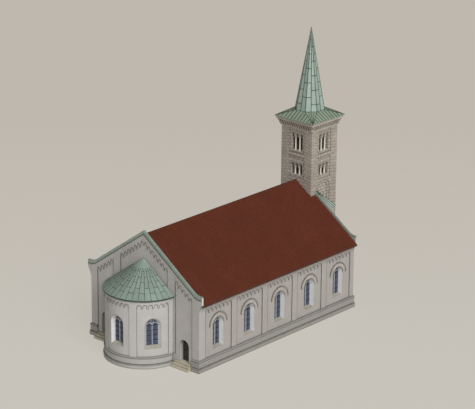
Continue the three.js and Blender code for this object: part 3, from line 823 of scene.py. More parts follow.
# Widths of the dark strips of painted shade along the friezes and up the field sides.
FRIEZE_SHADE_WIDTH, FIELD_SHADE_WIDTH = 0.034, 0.028
for side, label in ((1, "right"), (-1, "left")):
    wall, top = long_wall(side), level(FIELD_TOP)
    edges = BAY_CENTRES[:, None] + np.array([-0.5, 0.5]) * FIELD_WIDTH
    parts = [arch_frieze(a, b, NAVE_FRIEZE_ARCHES, top, wall, RECESS) for a, b in edges]
    piece(label + "_wall_friezes", parts, plaster)
    field_shade_strips.append(upright_shade_strips(edges, PLINTH_TOP, top, wall, RECESS))

gable_fields = [
    (-INNER_STRIP_IN, 0, 7),
    (0, INNER_STRIP_IN, 7),
    (INNER_STRIP_OUT, OUTER_STRIP, 5),
    (-OUTER_STRIP, -INNER_STRIP_OUT, 5),
]
piece(
    "front_gable_friezes",
    [arch_frieze(a, b, n, raking, front_wall, RECESS) for a, b, n in gable_fields],
    gable_plaster,
)
rear_fields = [(REAR_FIELD_IN, OUTER_STRIP, 6), (-OUTER_STRIP, -REAR_FIELD_IN, 6)]
piece(
    "rear_gable_friezes",
    [arch_frieze(a, b, n, raking, rear_wall, RECESS) for a, b, n in rear_fields],
    plaster,
)
apse_top, plate_depth, plate_sunk = level(APSE_FIELD_TOP), APSE_STRIP + 0.02, 0.006 - APSE_STRIP
apse_friezes = [
    arch_frieze(a, b, APSE_FRIEZE_ARCHES, apse_top, apse_wall, plate_depth, sunk=plate_sunk)
    for a, b in APSE_FIELDS * APSE_RADIUS
]
piece("apse_friezes", apse_friezes, apse_plaster)
tower_friezes = [
    arch_frieze(
        -BELFRY_FIELD_HALF,
        BELFRY_FIELD_HALF,
        BELFRY_FRIEZE_ARCHES,
        level(top),
        tower_wall(face),
        depth=0.08,
        web=0.09,
        drop=0.12,
        with_shade_strip=False,
    )
    for face in range(4)
    for top, sill, spring in BELFRY_STAGES
]
piece("tower_friezes", tower_friezes, tower_stone)
front_edges = np.array([INNER_STRIP_IN, INNER_STRIP_OUT, OUTER_STRIP])
rear_edges = np.array([REAR_FIELD_IN, OUTER_STRIP])
field_shade_strips += [
    upright_shade_strips([-front_edges, front_edges], PLINTH_TOP, raking, front_wall, RECESS),
    upright_shade_strips([-rear_edges, rear_edges], PLINTH_TOP, raking, rear_wall, RECESS),
    upright_shade_strips(APSE_FIELDS * APSE_RADIUS, PLINTH_TOP, apse_top, apse_wall, 0.02),
]
# Dark strips of painted shade along the friezes and up the field sides.
piece("frieze_shade_strips", frieze_shade_strips, painted_shade_strip)
piece("field_shade_strips", field_shade_strips, painted_shade_strip)


# ---------- windows ----------
RING_OUTER, RING_PROUD, RING_STONES = 1.16, -0.025, 13
HOOD_WIDTH = 0.06
FRAME_BAR, MULLION_BAR, ROUNDEL_BAR, SADDLE_BAR, UPRIGHT_BAR = 0.045, 0.055, 0.04, 0.03, 0.018
GLASS_RAISE = 0.003
BAR_NEAR, BAR_FAR = -GLASS_BACK - 0.01, -GLASS_BACK + 0.05
ring_shade_strips = []


def window_ring(shape, centre, place, depth):
    """Wedge stones round the head of a window, just proud of the sunk field, with a narrow
    dark strip of painted shade along their outer and inner edges."""
    spring = shape["spring"]
    stones = ring_stones(
        centre, spring, shape["half"], RING_OUTER, -depth, RING_PROUD, RING_STONES, 0.012, place
    )
    outer = arch_line(centre, RING_OUTER + HOOD_WIDTH / 2, spring, 24)
    hood = ribbon(outer, HOOD_WIDTH, -depth, RING_PROUD + 0.025, place)
    # Painted shade: dark strips round the hood, along the stones' outer edge and inside the ring.
    for radius in (RING_OUTER + HOOD_WIDTH, RING_OUTER - 0.01, shape["half"] + 0.02):
        edge = arch_line(centre, radius, spring, 24)
        ring_shade_strips.append(ribbon(edge, FRIEZE_SHADE_WIDTH, -depth - 0.01, RING_PROUD + 0.03, place))
    return [stones, hood]


def window_lining(shape, centre, place, face):
    """The splayed jambs and head of an opening: at each point of the outline a wedge-shaped
    section narrows the opening from its half width at the face to the glass's."""
    spring, half, narrow = shape["spring"], shape["half"], shape["glass"]
    t = np.radians(np.linspace(0, 180, 25))
    rise = np.concatenate([[shape["sill"]], spring + 0 * t, [shape["sill"]]])[:, None]
    t = np.concatenate([t[:1], t, t[-1:]])[:, None]
    r = np.array([half - 0.002, half - 0.012, narrow, half - 0.002])
    back = GLASS_RAISE - GLASS_BACK
    d = np.broadcast_to(np.array([face, face, back, back]), (len(t), 4))
    return [sheet_of(place(centre + r * np.cos(t), d, rise + r * np.sin(t)))]


def window_sill(shape, centre, place, edge):
    """A sill that slopes from the glass down to the wall face. Edge gives the reach of the wall
    face over the distance from the window's middle, so that it follows a curved wall."""
    half, sill = shape["half"] - 0.004, shape["sill"]
    u = np.linspace(-half, half, 9)[:, None]
    share = np.array([[0.0, 0.0, 1.0, 1.0]])
    d = (GLASS_RAISE - GLASS_BACK) * (1 - share) + (edge(u) + 0.002) * share
    z = np.array([[sill + 0.003, shape["foot"], sill + 0.025, sill + 0.003]]) + 0 * u
    return [sheet_of(place(centre + u + 0 * d, d, z))]


def window_tracery(shape, centre, place):
    """A frame, a mullion, two round lancet heads and a roundel."""
    half = shape["glass"] - 0.015
    spring, foot = shape["spring"], shape["foot"]
    head = spring - 0.06
    lancet = half / 2
    frame_line = np.concatenate(
        [
            [[centre + half, foot], [centre + half, spring - 0.3]],
            arch_line(centre, half, spring, 20),
            [[centre - half, spring - 0.3], [centre - half, foot]],
        ]
    )
    bars = [ribbon(frame_line, FRAME_BAR, BAR_NEAR, BAR_FAR + 0.02, place)]
    mullion = [[centre, foot], [centre, head]]
    bars.append(ribbon(mullion, MULLION_BAR, BAR_NEAR, BAR_FAR + 0.02, place))
    for offset in (-lancet, lancet):
        line = arch_line(centre + offset, lancet, head, 12)
        bars.append(ribbon(line, FRAME_BAR, BAR_NEAR, BAR_FAR + 0.01, place))
    t = np.linspace(0, 2 * np.pi, 16, endpoint=False)
    round_half = 0.25 * half
    roundel = np.stack(
        [centre + round_half * np.cos(t), spring + 0.55 * half + round_half * np.sin(t)], 1
    )
    bars.append(ribbon(roundel, ROUNDEL_BAR, BAR_NEAR, BAR_FAR, place, closed=True))
    return bars


def saddle_bars(shape, centre, place):
    """Thin level bars and a row of upright ones that hold the leaded glass."""
    half, head, foot = shape["glass"] - 0.03, shape["spring"] - 0.06, shape["foot"]
    bars = [
        ribbon(
            [[centre - half, z], [centre + half, z]], SADDLE_BAR, BAR_NEAR, BAR_NEAR + 0.04, place
        )
        for z in np.linspace(foot, head, 5)[1:]
    ]
    for x in (-half / 2, half / 2):
        line = [[centre + x, foot], [centre + x, head + 0.25]]
        bars.append(ribbon(line, UPRIGHT_BAR, BAR_NEAR, BAR_NEAR + 0.03, place))
    return bars


def glaze(prefix, shape, centres, place_for, face, depth, edge):
    """Linings, sills, tracery and bars for a row of windows."""
    places = [(c, place_for(c)) for c in centres]
    linings = [p for c, w in places for p in window_lining(shape, c, w, face)]
    sills = [p for c, w in places for p in window_sill(shape, c, w, edge)]
    tracery = [p for c, w in places for p in window_tracery(shape, c, w)]
    bars = [p for c, w in places for p in saddle_bars(shape, c, w)]
    piece(prefix + "_window_linings", linings, reveal_plaster)
    piece(prefix + "_window_sills", sills, sill_stone)
    piece(prefix + "_window_tracery", tracery, lead)
    piece(prefix + "_saddle_bars", bars, iron)
    if depth:
        rings = [p for c, w in places for p in window_ring(shape, c, w, depth)]
        piece(prefix + "_window_rings", rings, ring_stone, bevel=0.008)


for side, label in ((1, "right"), (-1, "left")):
    glaze(
        label,
        NAVE_WINDOW,
        BAY_CENTRES,
        lambda c, s=side: long_wall(s),
        -RECESS - 0.002,
        RECESS,
        lambda u: 0 * u - RECESS,
    )


def apse_edge(u):
    """How far the round wall face reaches over the flat plane of an apse window."""
    return np.sqrt(APSE_RADIUS**2 - u**2) - APSE_RADIUS - APSE_STRIP


apse_frames = []
for angle, label in zip(APSE_WINDOWS, ("apse_left", "apse_middle", "apse_right")):
    wall = apse_window_wall(angle)
    inner_glass = APSE_STRIP  # the apse glass is set back from the strips, not from the wall
    deeper = lambda u, d, z, w=wall: w(u, d + inner_glass, z)
    face = apse_edge(APSE_WINDOW["half"]) - 0.002
    glaze(label, APSE_WINDOW, [0.0], lambda c, w=deeper: w, face, 0, apse_edge)
    half, spring, sill = APSE_WINDOW["half"] + 0.02, APSE_WINDOW["spring"], APSE_WINDOW["sill"]
    outline = np.concatenate([[[half, sill]], arch_line(0, half, spring, 20), [[-half, sill]]])
    middle = angle * APSE_RADIUS
    apse_frames.append(ribbon(outline + [middle, 0], 0.045, -0.03, 0.012, apse_wall))
piece("apse_window_frames", apse_frames, apse_plaster)
piece("window_ring_shade_strips", ring_shade_strips, painted_shade_strip)


# ---------- mouldings that run round the walls ----------
def mitred(line, profile, closed=False):
    """A profile of (reach, height) carried round the corners of a plan line: at each corner the
    offset follows the mitre of the two neighbouring sides."""
    line, profile = np.asarray(line, float), np.asarray(profile, float)
    sides = np.diff(np.concatenate([line, line[:1]]) if closed else line, axis=0)
    sides /= np.linalg.norm(sides, axis=1, keepdims=True)
    out = np.stack([sides[:, 1], -sides[:, 0]], 1)
    if closed:
        before, after = np.roll(out, 1, 0), out
    else:
        before, after = np.concatenate([out[:1], out]), np.concatenate([out, out[-1:]])
    mitre = (before + after) / (1 + (before * after).sum(1, keepdims=True))
    xy = line[:, None] + mitre[:, None] * profile[None, :, :1]
    z = np.broadcast_to(profile[None, :, 1:], xy.shape[:2] + (1,))
    points = np.concatenate([xy, z], -1)
    if closed:
        points = np.concatenate([points, points[:1]])
    return sheet_of(points, caps=not closed)


def mirrored(part):
    """The same surface on the other side of the church."""
    points, faces, tone = part
    return points * [-1, 1, 1], faces, tone


ANNEX_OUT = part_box("right_annex_walls")[1].x
ANNEX_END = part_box("right_annex_walls")[1].y
REAR = FRONT + NAVE_LENGTH
TOWER_END = TOWER_CENTRE + TOWER_HALF
plinth_line = [
    (OUTER_STRIP, FRONT),
    (NAVE_HALF, FRONT),
    (NAVE_HALF, REAR),
    (ANNEX_OUT, REAR),
    (ANNEX_OUT, ANNEX_END),
    (TOWER_HALF, ANNEX_END),
    (TOWER_HALF, TOWER_END),
    (PORTAL_OUT, TOWER_END),
]
cap_profile = [
    (-0.02, PLINTH_TOP - 0.14),
    (PLINTH_REACH + 0.004, PLINTH_TOP - 0.14),
    (PLINTH_REACH + 0.03, PLINTH_TOP - 0.10),
    (PLINTH_REACH + 0.03, PLINTH_TOP - 0.03),
    (PLINTH_REACH - 0.01, PLINTH_TOP + 0.005),
    (-0.02, PLINTH_TOP + 0.03),
]
base_profile = [
    (PLINTH_REACH - 0.02, BASE_TOP - 0.06),
    (BASE_REACH + 0.004, BASE_TOP - 0.06),
    (BASE_REACH + 0.03, BASE_TOP - 0.03),
    (BASE_REACH + 0.02, BASE_TOP + 0.005),
    (PLINTH_REACH + 0.02, BASE_TOP + 0.03),
    (PLINTH_REACH + 0.015, BASE_TOP + 0.09),
    (PLINTH_REACH - 0.02, BASE_TOP + 0.11),
]
plinth_mouldings = [mitred(plinth_line, p) for p in (cap_profile, base_profile)]
plinth_mouldings += [mirrored(p) for p in plinth_mouldings]
arc = np.radians(np.linspace(-90, 90, 61)) * APSE_RADIUS
plinth_mouldings += [carried(arc, p, apse_wall) for p in (cap_profile, base_profile)]
piece("plinth_mouldings", plinth_mouldings, grey_stone, smooth=True)
# Painted shade: dark strips at the wall foot over the plinth, under the cap moulding and over the
# base moulding.
shade_strip_profiles = [
    [(-0.02, low), (out, low), (out, high), (-0.02, high)]
    for out, low, high in (
        (0.012, PLINTH_TOP - 0.01, PLINTH_TOP + 0.045),
        (PLINTH_REACH + 0.008, PLINTH_TOP - 0.175, PLINTH_TOP - 0.135),
        (PLINTH_REACH + 0.022, BASE_TOP + 0.07, BASE_TOP + 0.115),
    )
]
plinth_shade_strips = [mitred(plinth_line, p) for p in shade_strip_profiles]
plinth_shade_strips += [mirrored(p) for p in plinth_shade_strips]
plinth_shade_strips += [carried(arc, p, apse_wall) for p in shade_strip_profiles]
piece("plinth_shade_strips", plinth_shade_strips, painted_shade_strip)

eave_profile = [
    (-0.02, 6.36), (0.03, 6.36), (0.05, 6.44), (0.12, 6.52), (0.14, 6.60), (-0.02, 6.66)
]
run = [FRONT_CORNER + 0.01, NAVE_LENGTH - REAR_CORNER - 0.01]
piece(
    "eave_mouldings",
    [carried(run, eave_profile, long_wall(s)) for s in (1, -1)],
    plaster,
)
EAVE_TOP = RIDGE - SLOPE * EAVE_HALF
board_profile = [
    (EAVE_HALF - NAVE_HALF - 0.01, EAVE_TOP - 0.14),
    (EAVE_HALF - NAVE_HALF + 0.03, EAVE_TOP - 0.14),
    (EAVE_HALF - NAVE_HALF + 0.03, EAVE_TOP),
    (EAVE_HALF - NAVE_HALF - 0.01, EAVE_TOP + 0.02),
]
board_run = [ROOF_START + 0.01, ROOF_STOP - 0.01]
piece(
    "eave_boards",
    [carried(board_run, board_profile, long_wall(s)) for s in (1, -1)],
    eave_board_shade,
)

# ---------- roof tiles ----------
TILE_WIDTH, TILE_SHOWN, TILE_THICK, TILE_LIFT = 0.22, 0.30, 0.012, 0.014
PITCH = np.arctan(SLOPE)


def roof_tiles(side):
    """Flat tiles in level courses, each course half a tile over: a tile starts on the roof boards
    at its upper end and rests on the course below it at its lower end."""
    length = EAVE_HALF / np.cos(PITCH) - 0.03
    courses = int(length / TILE_SHOWN)
    columns = int((ROOF_STOP - ROOF_START) / TILE_WIDTH)
    course, column = np.meshgrid(np.arange(courses), np.arange(columns), indexing="ij")
    lower = length + 0.03 - course * TILE_SHOWN
    upper = lower - TILE_SHOWN - 0.02
    begin = ROOF_START + 0.02 + (column + 0.5 * (course % 2)) * TILE_WIDTH
    begin, lower, upper = (v.reshape(-1) for v in (begin, lower, upper))
    end = np.minimum(begin + TILE_WIDTH - 0.004, ROOF_STOP - 0.01)
    kept = (end > begin + 0.03) & ~(
        (lower * np.cos(PITCH) < TOWER_HALF + 0.06) & (end > TOWER_START - 0.02)
    )
    begin, end, lower, upper = begin[kept], end[kept], lower[kept], upper[kept]
    lift = TILE_LIFT + 0.004 * chance.random(len(begin))
    s = np.stack([upper, lower], 1)[:, :, None]
    h_low = np.stack([0 * lift + 0.002, lift], 1)[:, :, None]
    h = h_low + np.array([0, 0, 1, 1]) * TILE_THICK
    y = np.broadcast_to(np.stack([begin, end, end, begin], 1)[:, None, :], h.shape)
    s = np.broadcast_to(s, h.shape)
    x = s * np.cos(PITCH) + h * np.sin(PITCH)
    z = RIDGE - s * np.sin(PITCH) + h * np.cos(PITCH)
    return sheet_of(np.stack([side * x, FRONT + y, z], -1))


for side, label in ((1, "right"), (-1, "left")):
    piece(label + "_roof_tiles", [roof_tiles(side)], roof_tile)

ridge_steps = np.arange(ROOF_START + 0.02, TOWER_START - 0.02, 0.42)
t = np.linspace(0, np.pi, 7)
ridge_section = np.stack([0.13 * np.cos(t), RIDGE - 0.06 + 0.085 * np.sin(t)], 1)
start, stop = ridge_steps, np.minimum(ridge_steps + 0.44, TOWER_START - 0.01)
swell = np.array([0.0, 0.012])
x = np.broadcast_to(ridge_section[:, 0], (len(start), 2, 7)) * (1 + swell[:, None] * 4)
z = np.broadcast_to(ridge_section[:, 1], (len(start), 2, 7)) + swell[:, None]
y = np.broadcast_to(np.stack([start, stop], 1)[..., None], x.shape) + FRONT
piece("ridge_tiles", [sheet_of(np.stack([x, y, z], -1))], roof_tile)

# ---------- copper ----------
SHEET_GAP, SHEET_THICK, SEAM_WIDTH, SEAM_HEIGHT = 0.045, 0.014, 0.03, 0.035
CONE_SLOPE = (APSE_APEX - APSE_EAVE) / APSE_ROOF_RADIUS
APSE_SHEETS, APSE_CAP = 20, 1.0
APSE_JOINTS = ((3.24, 2.24, 1.24), (2.77, 1.77))  # radii of the cross joints in even and odd strips


def cone(radius, angle, lift):
    """A point on the apse roof: lift is the height over its surface."""
    r = radius + lift * 0.58
    z = APSE_APEX - CONE_SLOPE * radius + lift * 0.81
    return np.stack([r * np.sin(angle), FRONT - 0.002 - r * np.cos(angle), z + 0 * angle], -1)


def cone_sheets():
    """Wedge-shaped copper sheets with open joints, staggered from one strip to the next. Each is
    a patch of the cone between two radii and two angles, with a thickness."""
    strips = np.radians(np.linspace(-90, 90, APSE_SHEETS + 1))
    rim = APSE_ROOF_RADIUS + 0.045
    near, far, left, right_side = [], [], [], []
    for parity, joints in enumerate(APSE_JOINTS):
        edges = np.array([rim, *joints, APSE_CAP - SHEET_GAP / 2])
        first = strips[:-1][parity::2]
        outer, start = np.meshgrid(edges[:-1], first)
        inner, stop = np.meshgrid(edges[1:], strips[1:][parity::2])
        near.append(inner.ravel() + SHEET_GAP / 2)
        far.append(outer.ravel() - SHEET_GAP / 2)
        left.append(start.ravel())
        right_side.append(stop.ravel())
    r = np.stack([np.concatenate(near), np.concatenate(far)], 1)[:, :, None]
    a, b = (np.concatenate(v)[:, None, None] for v in (left, right_side))
    half = SHEET_GAP / 2 / r
    share = np.array([0, 0.5, 1, 1, 0.5, 0])
    angle = a + half + (b - a - 2 * half) * share
    lift = np.array([1, 1, 1, -1, -1, -1]) * SHEET_THICK + 0.012
    return sheet_of(cone(np.broadcast_to(r, angle.shape), angle, lift))


def cone_seams():
    """Standing seams: a narrow upright fold along each line between two strips."""
    angles = np.radians(np.linspace(-90, 90, APSE_SHEETS + 1))[1:-1]
    r = np.array([APSE_CAP - 0.02, APSE_ROOF_RADIUS + 0.04])
    half = SEAM_WIDTH / 2 / r
    angle = angles[:, None, None] + half[:, None] * np.array([-1, 1, 1, -1])
    lift = np.array([-0.02, -0.02, SEAM_HEIGHT, SEAM_HEIGHT])
    return sheet_of(cone(np.broadcast_to(r[:, None], angle.shape), angle, lift))


def cone_ring(profile, steps=40):
    """A (radius, height) profile carried round the half circle of the apse."""
    angle = np.radians(np.linspace(-90, 90, steps + 1))[:, None]
    r, z = np.asarray(profile, float).T
    points = np.stack(
        [r * np.sin(angle), FRONT - 0.002 - r * np.cos(angle), z + 0 * angle], -1
    )
    return sheet_of(points)


piece("apse_roof_sheets", [cone_sheets()], apse_copper)
piece("apse_roof_seams", [cone_seams()], copper_seam)
cap_section = [
    (0.005, APSE_APEX + 0.028),
    (APSE_CAP, APSE_APEX - CONE_SLOPE * APSE_CAP + 0.028),
    (APSE_CAP, APSE_APEX - CONE_SLOPE * APSE_CAP - 0.03),
    (0.005, APSE_APEX - 0.06),
]
piece("apse_roof_cap", [cone_ring(cap_section)], apse_copper, smooth=True)
edge_section = [
    (APSE_ROOF_RADIUS - 0.03, APSE_EAVE - 0.15),
    (APSE_ROOF_RADIUS + 0.035, APSE_EAVE - 0.15),
    (APSE_ROOF_RADIUS + 0.045, APSE_EAVE - 0.02),
    (APSE_ROOF_RADIUS - 0.03, APSE_EAVE + 0.005),
]
piece("apse_roof_edge", [cone_ring(edge_section)], copper_seam, smooth=True)


def sheets_on_face(corners, columns, row, lift=0.014, gap=SHEET_GAP, odd=0):
    """Copper sheets on a flat four-cornered roof face. Corners are foot left, foot right, head
    right, head left. Columns of equal width taper with the face, and each column's cross joints
    are a half row over from its neighbour's. Row is the sheet length up the slope."""
    a, b, c, d = (np.asarray(v, float) for v in corners)
    normal = np.cross(b - a, d - a)
    normal /= np.linalg.norm(normal)
    height = np.linalg.norm((c + d) / 2 - (a + b) / 2)
    parts = []
    for column in range(columns):
        first = row * (0.5 if (column + odd) % 2 else 1.0)
        edges = np.concatenate([[0.0], np.arange(first, height - 0.3 * row, row), [height]])
        v = np.stack([edges[:-1] + gap / 2, edges[1:] - gap / 2], 1) / height
        left = a + (d - a) * v[..., None]
        right_edge = b + (c - b) * v[..., None]
        width = np.linalg.norm(right_edge - left, axis=-1, keepdims=True)
        side = (right_edge - left) / np.maximum(width, 1e-6)
        inner = np.minimum(gap / 2, width / columns * 0.3)
        near = left + side * (width * column / columns + inner)
        far = left + side * (width * (column + 1) / columns - inner)
        up_, down_ = normal * lift, -normal * 0.01
        ring = np.stack([near + up_, far + up_, far + down_, near + down_], 2)
        parts.append(ring)
    return sheet_of(np.concatenate(parts))


def seams_on_face(corners, columns, width=SEAM_WIDTH, height=0.045, ends=False, taper=1.0):
    """Upright folds between the columns of a roof face, from foot to head, narrowed to a share
    of their size at the head."""
    a, b, c, d = (np.asarray(v, float) for v in corners)
    normal = np.cross(b - a, d - a)
    normal /= np.linalg.norm(normal)
    share = np.arange(0 if ends else 1, columns + (1 if ends else 0)) / columns
    foot, head = a + (b - a) * share[:, None], d + (c - d) * share[:, None]
    size = np.array([1.0, taper])[:, None]
    across = (b - a) / np.linalg.norm(b - a) * width / 2 * size
    line = np.stack([foot, head], 1)
    up_ = normal * height * size
    ring = np.stack([line - across, line + across, line + across + up_, line - across + up_], 2)
    return sheet_of(ring)


def parallel_strips(corners, count, gap, lift, rib_width, rib_height):
    """Sheets and ribs that run straight up a roof face, square to its foot, and end on the face's
    slanting sides or its head: at a distance u from the middle of the foot they reach the share
    (foot / 2 - u) / (foot / 2 - head / 2) of the slope."""
    a, b, c, d = (np.asarray(v, float) for v in corners)
    normal = np.cross(b - a, d - a)
    normal /= np.linalg.norm(normal)
    foot_length, head_length = np.linalg.norm(b - a), np.linalg.norm(c - d)
    along, middle = (b - a) / foot_length, (a + b) / 2
    climb = (c + d) / 2 - middle
    u = np.linspace(-foot_length / 2, foot_length / 2, count + 1)

    def end(v):
        share = (foot_length / 2 - np.abs(v)) / (foot_length / 2 - head_length / 2)
        return np.clip(share, 0.002, 1.0)

    def at(v, share):
        return middle + along * v[:, None] + climb * share[:, None]

    left, right_side = u[:-1] + gap / 2, u[1:] - gap / 2
    flat = np.stack(
        [
            np.stack([at(left, 0 * left), at(right_side, 0 * left)], 1),
            np.stack([at(left, end(left)), at(right_side, end(right_side))], 1),
        ],
        1,
    )
    top, under = flat + normal * lift, flat - normal * 0.01
    sheets = np.concatenate([top, under[:, :, ::-1]], 2)
    rib = u[1:-1]
    line = np.stack([at(rib, 0 * rib), at(rib, end(rib))], 1)
    side, high = along * rib_width / 2, normal * rib_height
    ribs = np.stack([line - side, line + side, line + side + high, line - side + high], 2)
    return sheet_of(sheets), sheet_of(ribs)


def around_tower(points):
    """Points given about the tower's axis, moved to the tower."""
    return np.asarray(points, float) + [0, TOWER_CENTRE, 0]


def octagon(half, height):
    """The eight corners of a level octagon, by half its width across the flats."""
    t = np.radians(22.5 + 45 * np.arange(8))
    r = half / np.cos(np.radians(22.5))
    return np.stack([r * np.cos(t), r * np.sin(t), 0 * t + height], 1)


foot_ring = octagon(SPIRE_HALF + 0.004, SPIRE_FOOT + 0.02)
head_ring = octagon(0.026, SPIRE_APEX - 0.02)
spire_sheets, spire_seams = [], []
SPIRE_ROW, SPIRE_GAP = 1.44, 0.075
for i in range(8):
    j = (i + 1) % 8
    corners = around_tower([foot_ring[i], foot_ring[j], head_ring[j], head_ring[i]])
    spire_sheets.append(sheets_on_face(corners, 2, SPIRE_ROW, gap=SPIRE_GAP, odd=i % 2))
    spire_seams.append(seams_on_face(corners, 2, width=0.036, height=0.03, ends=True, taper=0.2))
piece("spire_sheets", spire_sheets, copper_sheet)
piece("spire_seams", spire_seams, copper_seam)

SKIRT_SEAMS, SKIRT_GAP, SKIRT_LIFT = 12, 0.06, 0.02
SKIRT_RIB_WIDTH, SKIRT_RIB_HEIGHT = 0.07, 0.045
eave_corner = np.array([[1, -1], [1, 1], [-1, 1], [-1, -1]]) * (TOWER_HALF + 0.5)
skirt_sheets, skirt_seams = [], []
top_ring = octagon(SPIRE_HALF, SKIRT_TOP)
for i in range(4):
    j = (i + 1) % 4
    low_a = np.append(eave_corner[i], SKIRT_LIP)
    low_b = np.append(eave_corner[j], SKIRT_LIP)
    top_a, top_b = top_ring[(2 * i - 1) % 8], top_ring[2 * i]
    corners = around_tower([low_a, low_b, top_b, top_a])
    strips, ribs = parallel_strips(
        corners, SKIRT_SEAMS, SKIRT_GAP, SKIRT_LIFT, SKIRT_RIB_WIDTH, SKIRT_RIB_HEIGHT
    )
    skirt_sheets.append(strips)
    skirt_seams.append(ribs)
    nxt = top_ring[(2 * i + 1) % 8]
    triangle = around_tower([low_b, low_b + (nxt - top_b) * 0.02, nxt, top_b])
    skirt_sheets.append(sheets_on_face(triangle, 4, 6.0, lift=SKIRT_LIFT, gap=SKIRT_GAP))
    skirt_seams.append(seams_on_face(triangle, 4, width=0.05, height=0.035, ends=True))
piece("skirt_sheets", skirt_sheets, skirt_copper)
piece("skirt_seams", skirt_seams, copper_seam)
square = np.array([[-1.0, -1.0], [1.0, -1.0], [1.0, 1.0], [-1.0, 1.0]])
tower_square = square * TOWER_HALF + [0, TOWER_CENTRE]
skirt_edge = [(0.47, 18.23), (0.515, 18.23), (0.52, 18.30), (0.47, 18.32)]
piece("skirt_edge", [mitred(tower_square, skirt_edge, closed=True)], skirt_copper)

# ---------- tower ----------
QUOIN_HEIGHT, QUOIN_LONG, QUOIN_SHORT, QUOIN_PROUD = 0.32, 0.70, 0.42, 0.02


def quoins():
    """Corner stones of the tower, long one way and short the other, turned about in each course."""
    z = np.arange(PLINTH_TOP + 0.02, TOWER_TOP - 0.1, QUOIN_HEIGHT)
    parts = []
    out = TOWER_HALF + QUOIN_PROUD
    for sx in (-1, 1):
        for sy in (-1, 1):
            flip = (np.arange(len(z)) + (sx * sy > 0)) % 2 == 0
            lx = np.where(flip, QUOIN_LONG, QUOIN_SHORT)
            ly = np.where(flip, QUOIN_SHORT, QUOIN_LONG)
            x = np.sort(np.stack([sx * out + 0 * lx, sx * (TOWER_HALF - lx)], 1), 1)
            y = np.sort(np.stack([sy * out + 0 * ly, sy * (TOWER_HALF - ly)], 1), 1) + TOWER_CENTRE
            top = np.minimum(z + QUOIN_HEIGHT - 0.025, TOWER_TOP)
            low = np.stack([x[:, 0], y[:, 0], z], 1)
            high = np.stack([x[:, 1], y[:, 1], top], 1)
            parts.append(blocks(low, high))
    return parts


piece("tower_quoins", quoins(), quoin_stone, bevel=0.012)

cornice_section = [
    (-0.55, 18.23),
    (-0.55, 17.245),
    (0.012, 17.245),
    (0.012, 17.60),
    (0.05, 17.84),
    (0.30, 17.90),
    (0.31, 17.92),
    (0.40, 17.96),
    (0.43, 18.02),
    (0.43, 18.08),
    (0.40, 18.11),
    (0.43, 18.15),
    (0.43, 18.23),
]
core = piece(
    "cornice_core", [mitred(tower_square, cornice_section, closed=True)], corbel_stone
)
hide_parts("tower_cornice")
# Painted shade: a near black lining behind the corbels, seen in the gaps between them.
corbel_shade_section = [
    (-0.02, 17.40),
    (0.03, 17.42),
    (0.09, 17.50),
    (0.18, 17.67),
    (0.28, 17.80),
    (0.30, 17.89),
    (-0.02, 17.89),
]
piece(
    "corbel_recess_shade",
    [mitred(tower_square, corbel_shade_section, closed=True)],
    painted_shade_strip,
)
CORBELS, CORBEL_WIDTH, CORBEL_SPAN = 15, 0.12, TOWER_HALF + 0.13
corbel_side = np.array(
    [
        (0.0, 17.34), (0.06, 17.36), (0.13, 17.44), (0.22, 17.66), (0.33, 17.78), (0.35, 17.90),
        (0.0, 17.90),
    ]
)
corbels = []
for face in range(4):
    place = tower_wall(face)
    middle = np.linspace(-CORBEL_SPAN, CORBEL_SPAN, CORBELS)
    u = middle[:, None, None] + np.array([-0.5, 0.5])[:, None] * CORBEL_WIDTH
    u = np.broadcast_to(u, (CORBELS, 2, len(corbel_side)))
    d = np.broadcast_to(corbel_side[:, 0], u.shape)
    z = np.broadcast_to(corbel_side[:, 1], u.shape)
    corbels.append(sheet_of(place(u, d, z)))
piece("tower_corbels", corbels, corbel_stone, bevel=0.008)

HEAD_STONES, HEAD_RADIUS, SILL_HALF, LOUVRE_HALF, LOUVRE_PITCH = 7, 0.262, 0.78, 0.8, 0.16
COLUMN_BASE = [
    (0.001, 0.0), (0.105, 0.0), (0.11, 0.05), (0.085, 0.08), (0.095, 0.12), (0.075, 0.15)
]
COLUMN_HEAD = [(0.07, -0.12), (0.085, -0.10), (0.10, -0.03), (0.105, 0.01), (0.001, 0.01)]
shafts, heads, louvres = [], [], []
for face in range(4):
    place = tower_wall(face)
    for top, sill, spring in BELFRY_STAGES:
        column_top = spring - 0.30
        column = [(r, sill + h) for r, h in COLUMN_BASE]
        column += [(0.078, (sill + column_top) / 2)]
        column += [(r, column_top + h) for r, h in COLUMN_HEAD]
        for x in (-0.5 * BELFRY_PITCH, 0.5 * BELFRY_PITCH):
            centre = place(np.array(x), np.array(-COLUMN_BACK), np.array(0.0))
            shafts.append(turned(column, centre))
        inner, outer = BELFRY_RADIUS, HEAD_RADIUS
        for k in (-1, 0, 1):
            x = k * BELFRY_PITCH
            heads.append(
                ring_stones(x, spring, inner, outer, -0.12, -0.05, HEAD_STONES, 0.008, place)
            )
        ledge = [(-0.12, sill - 0.12), (-0.03, sill - 0.12), (-0.03, sill - 0.03), (-0.10, sill)]
        heads.append(carried([-SILL_HALF, SILL_HALF], ledge, place))
        for z in np.arange(sill + 0.05, spring + 0.15, LOUVRE_PITCH):
            slat = [(-0.56, z + 0.13), (-0.54, z + 0.13), (-0.42, z), (-0.44, z)]
            louvres.append(carried([-LOUVRE_HALF, LOUVRE_HALF], slat, place))
piece("belfry_columns", shafts, marble, smooth=True)
piece("belfry_heads", heads, belfry_stone)
piece("belfry_louvres", louvres, louvre_wood_and_shade)

# ---------- side doors ----------
BOARDS, BOARD_FOOT, BOARD_TOP, BOARD_GAP = 7, 0.54, 2.84, 0.008
STRAP_LEVELS, STRAP_HEIGHT = (0.85, 1.55, 2.25), 0.055
HANDLE_SIDE, HANDLE_LEVEL, HANDLE_RADIUS = -0.42, 1.45, 0.06


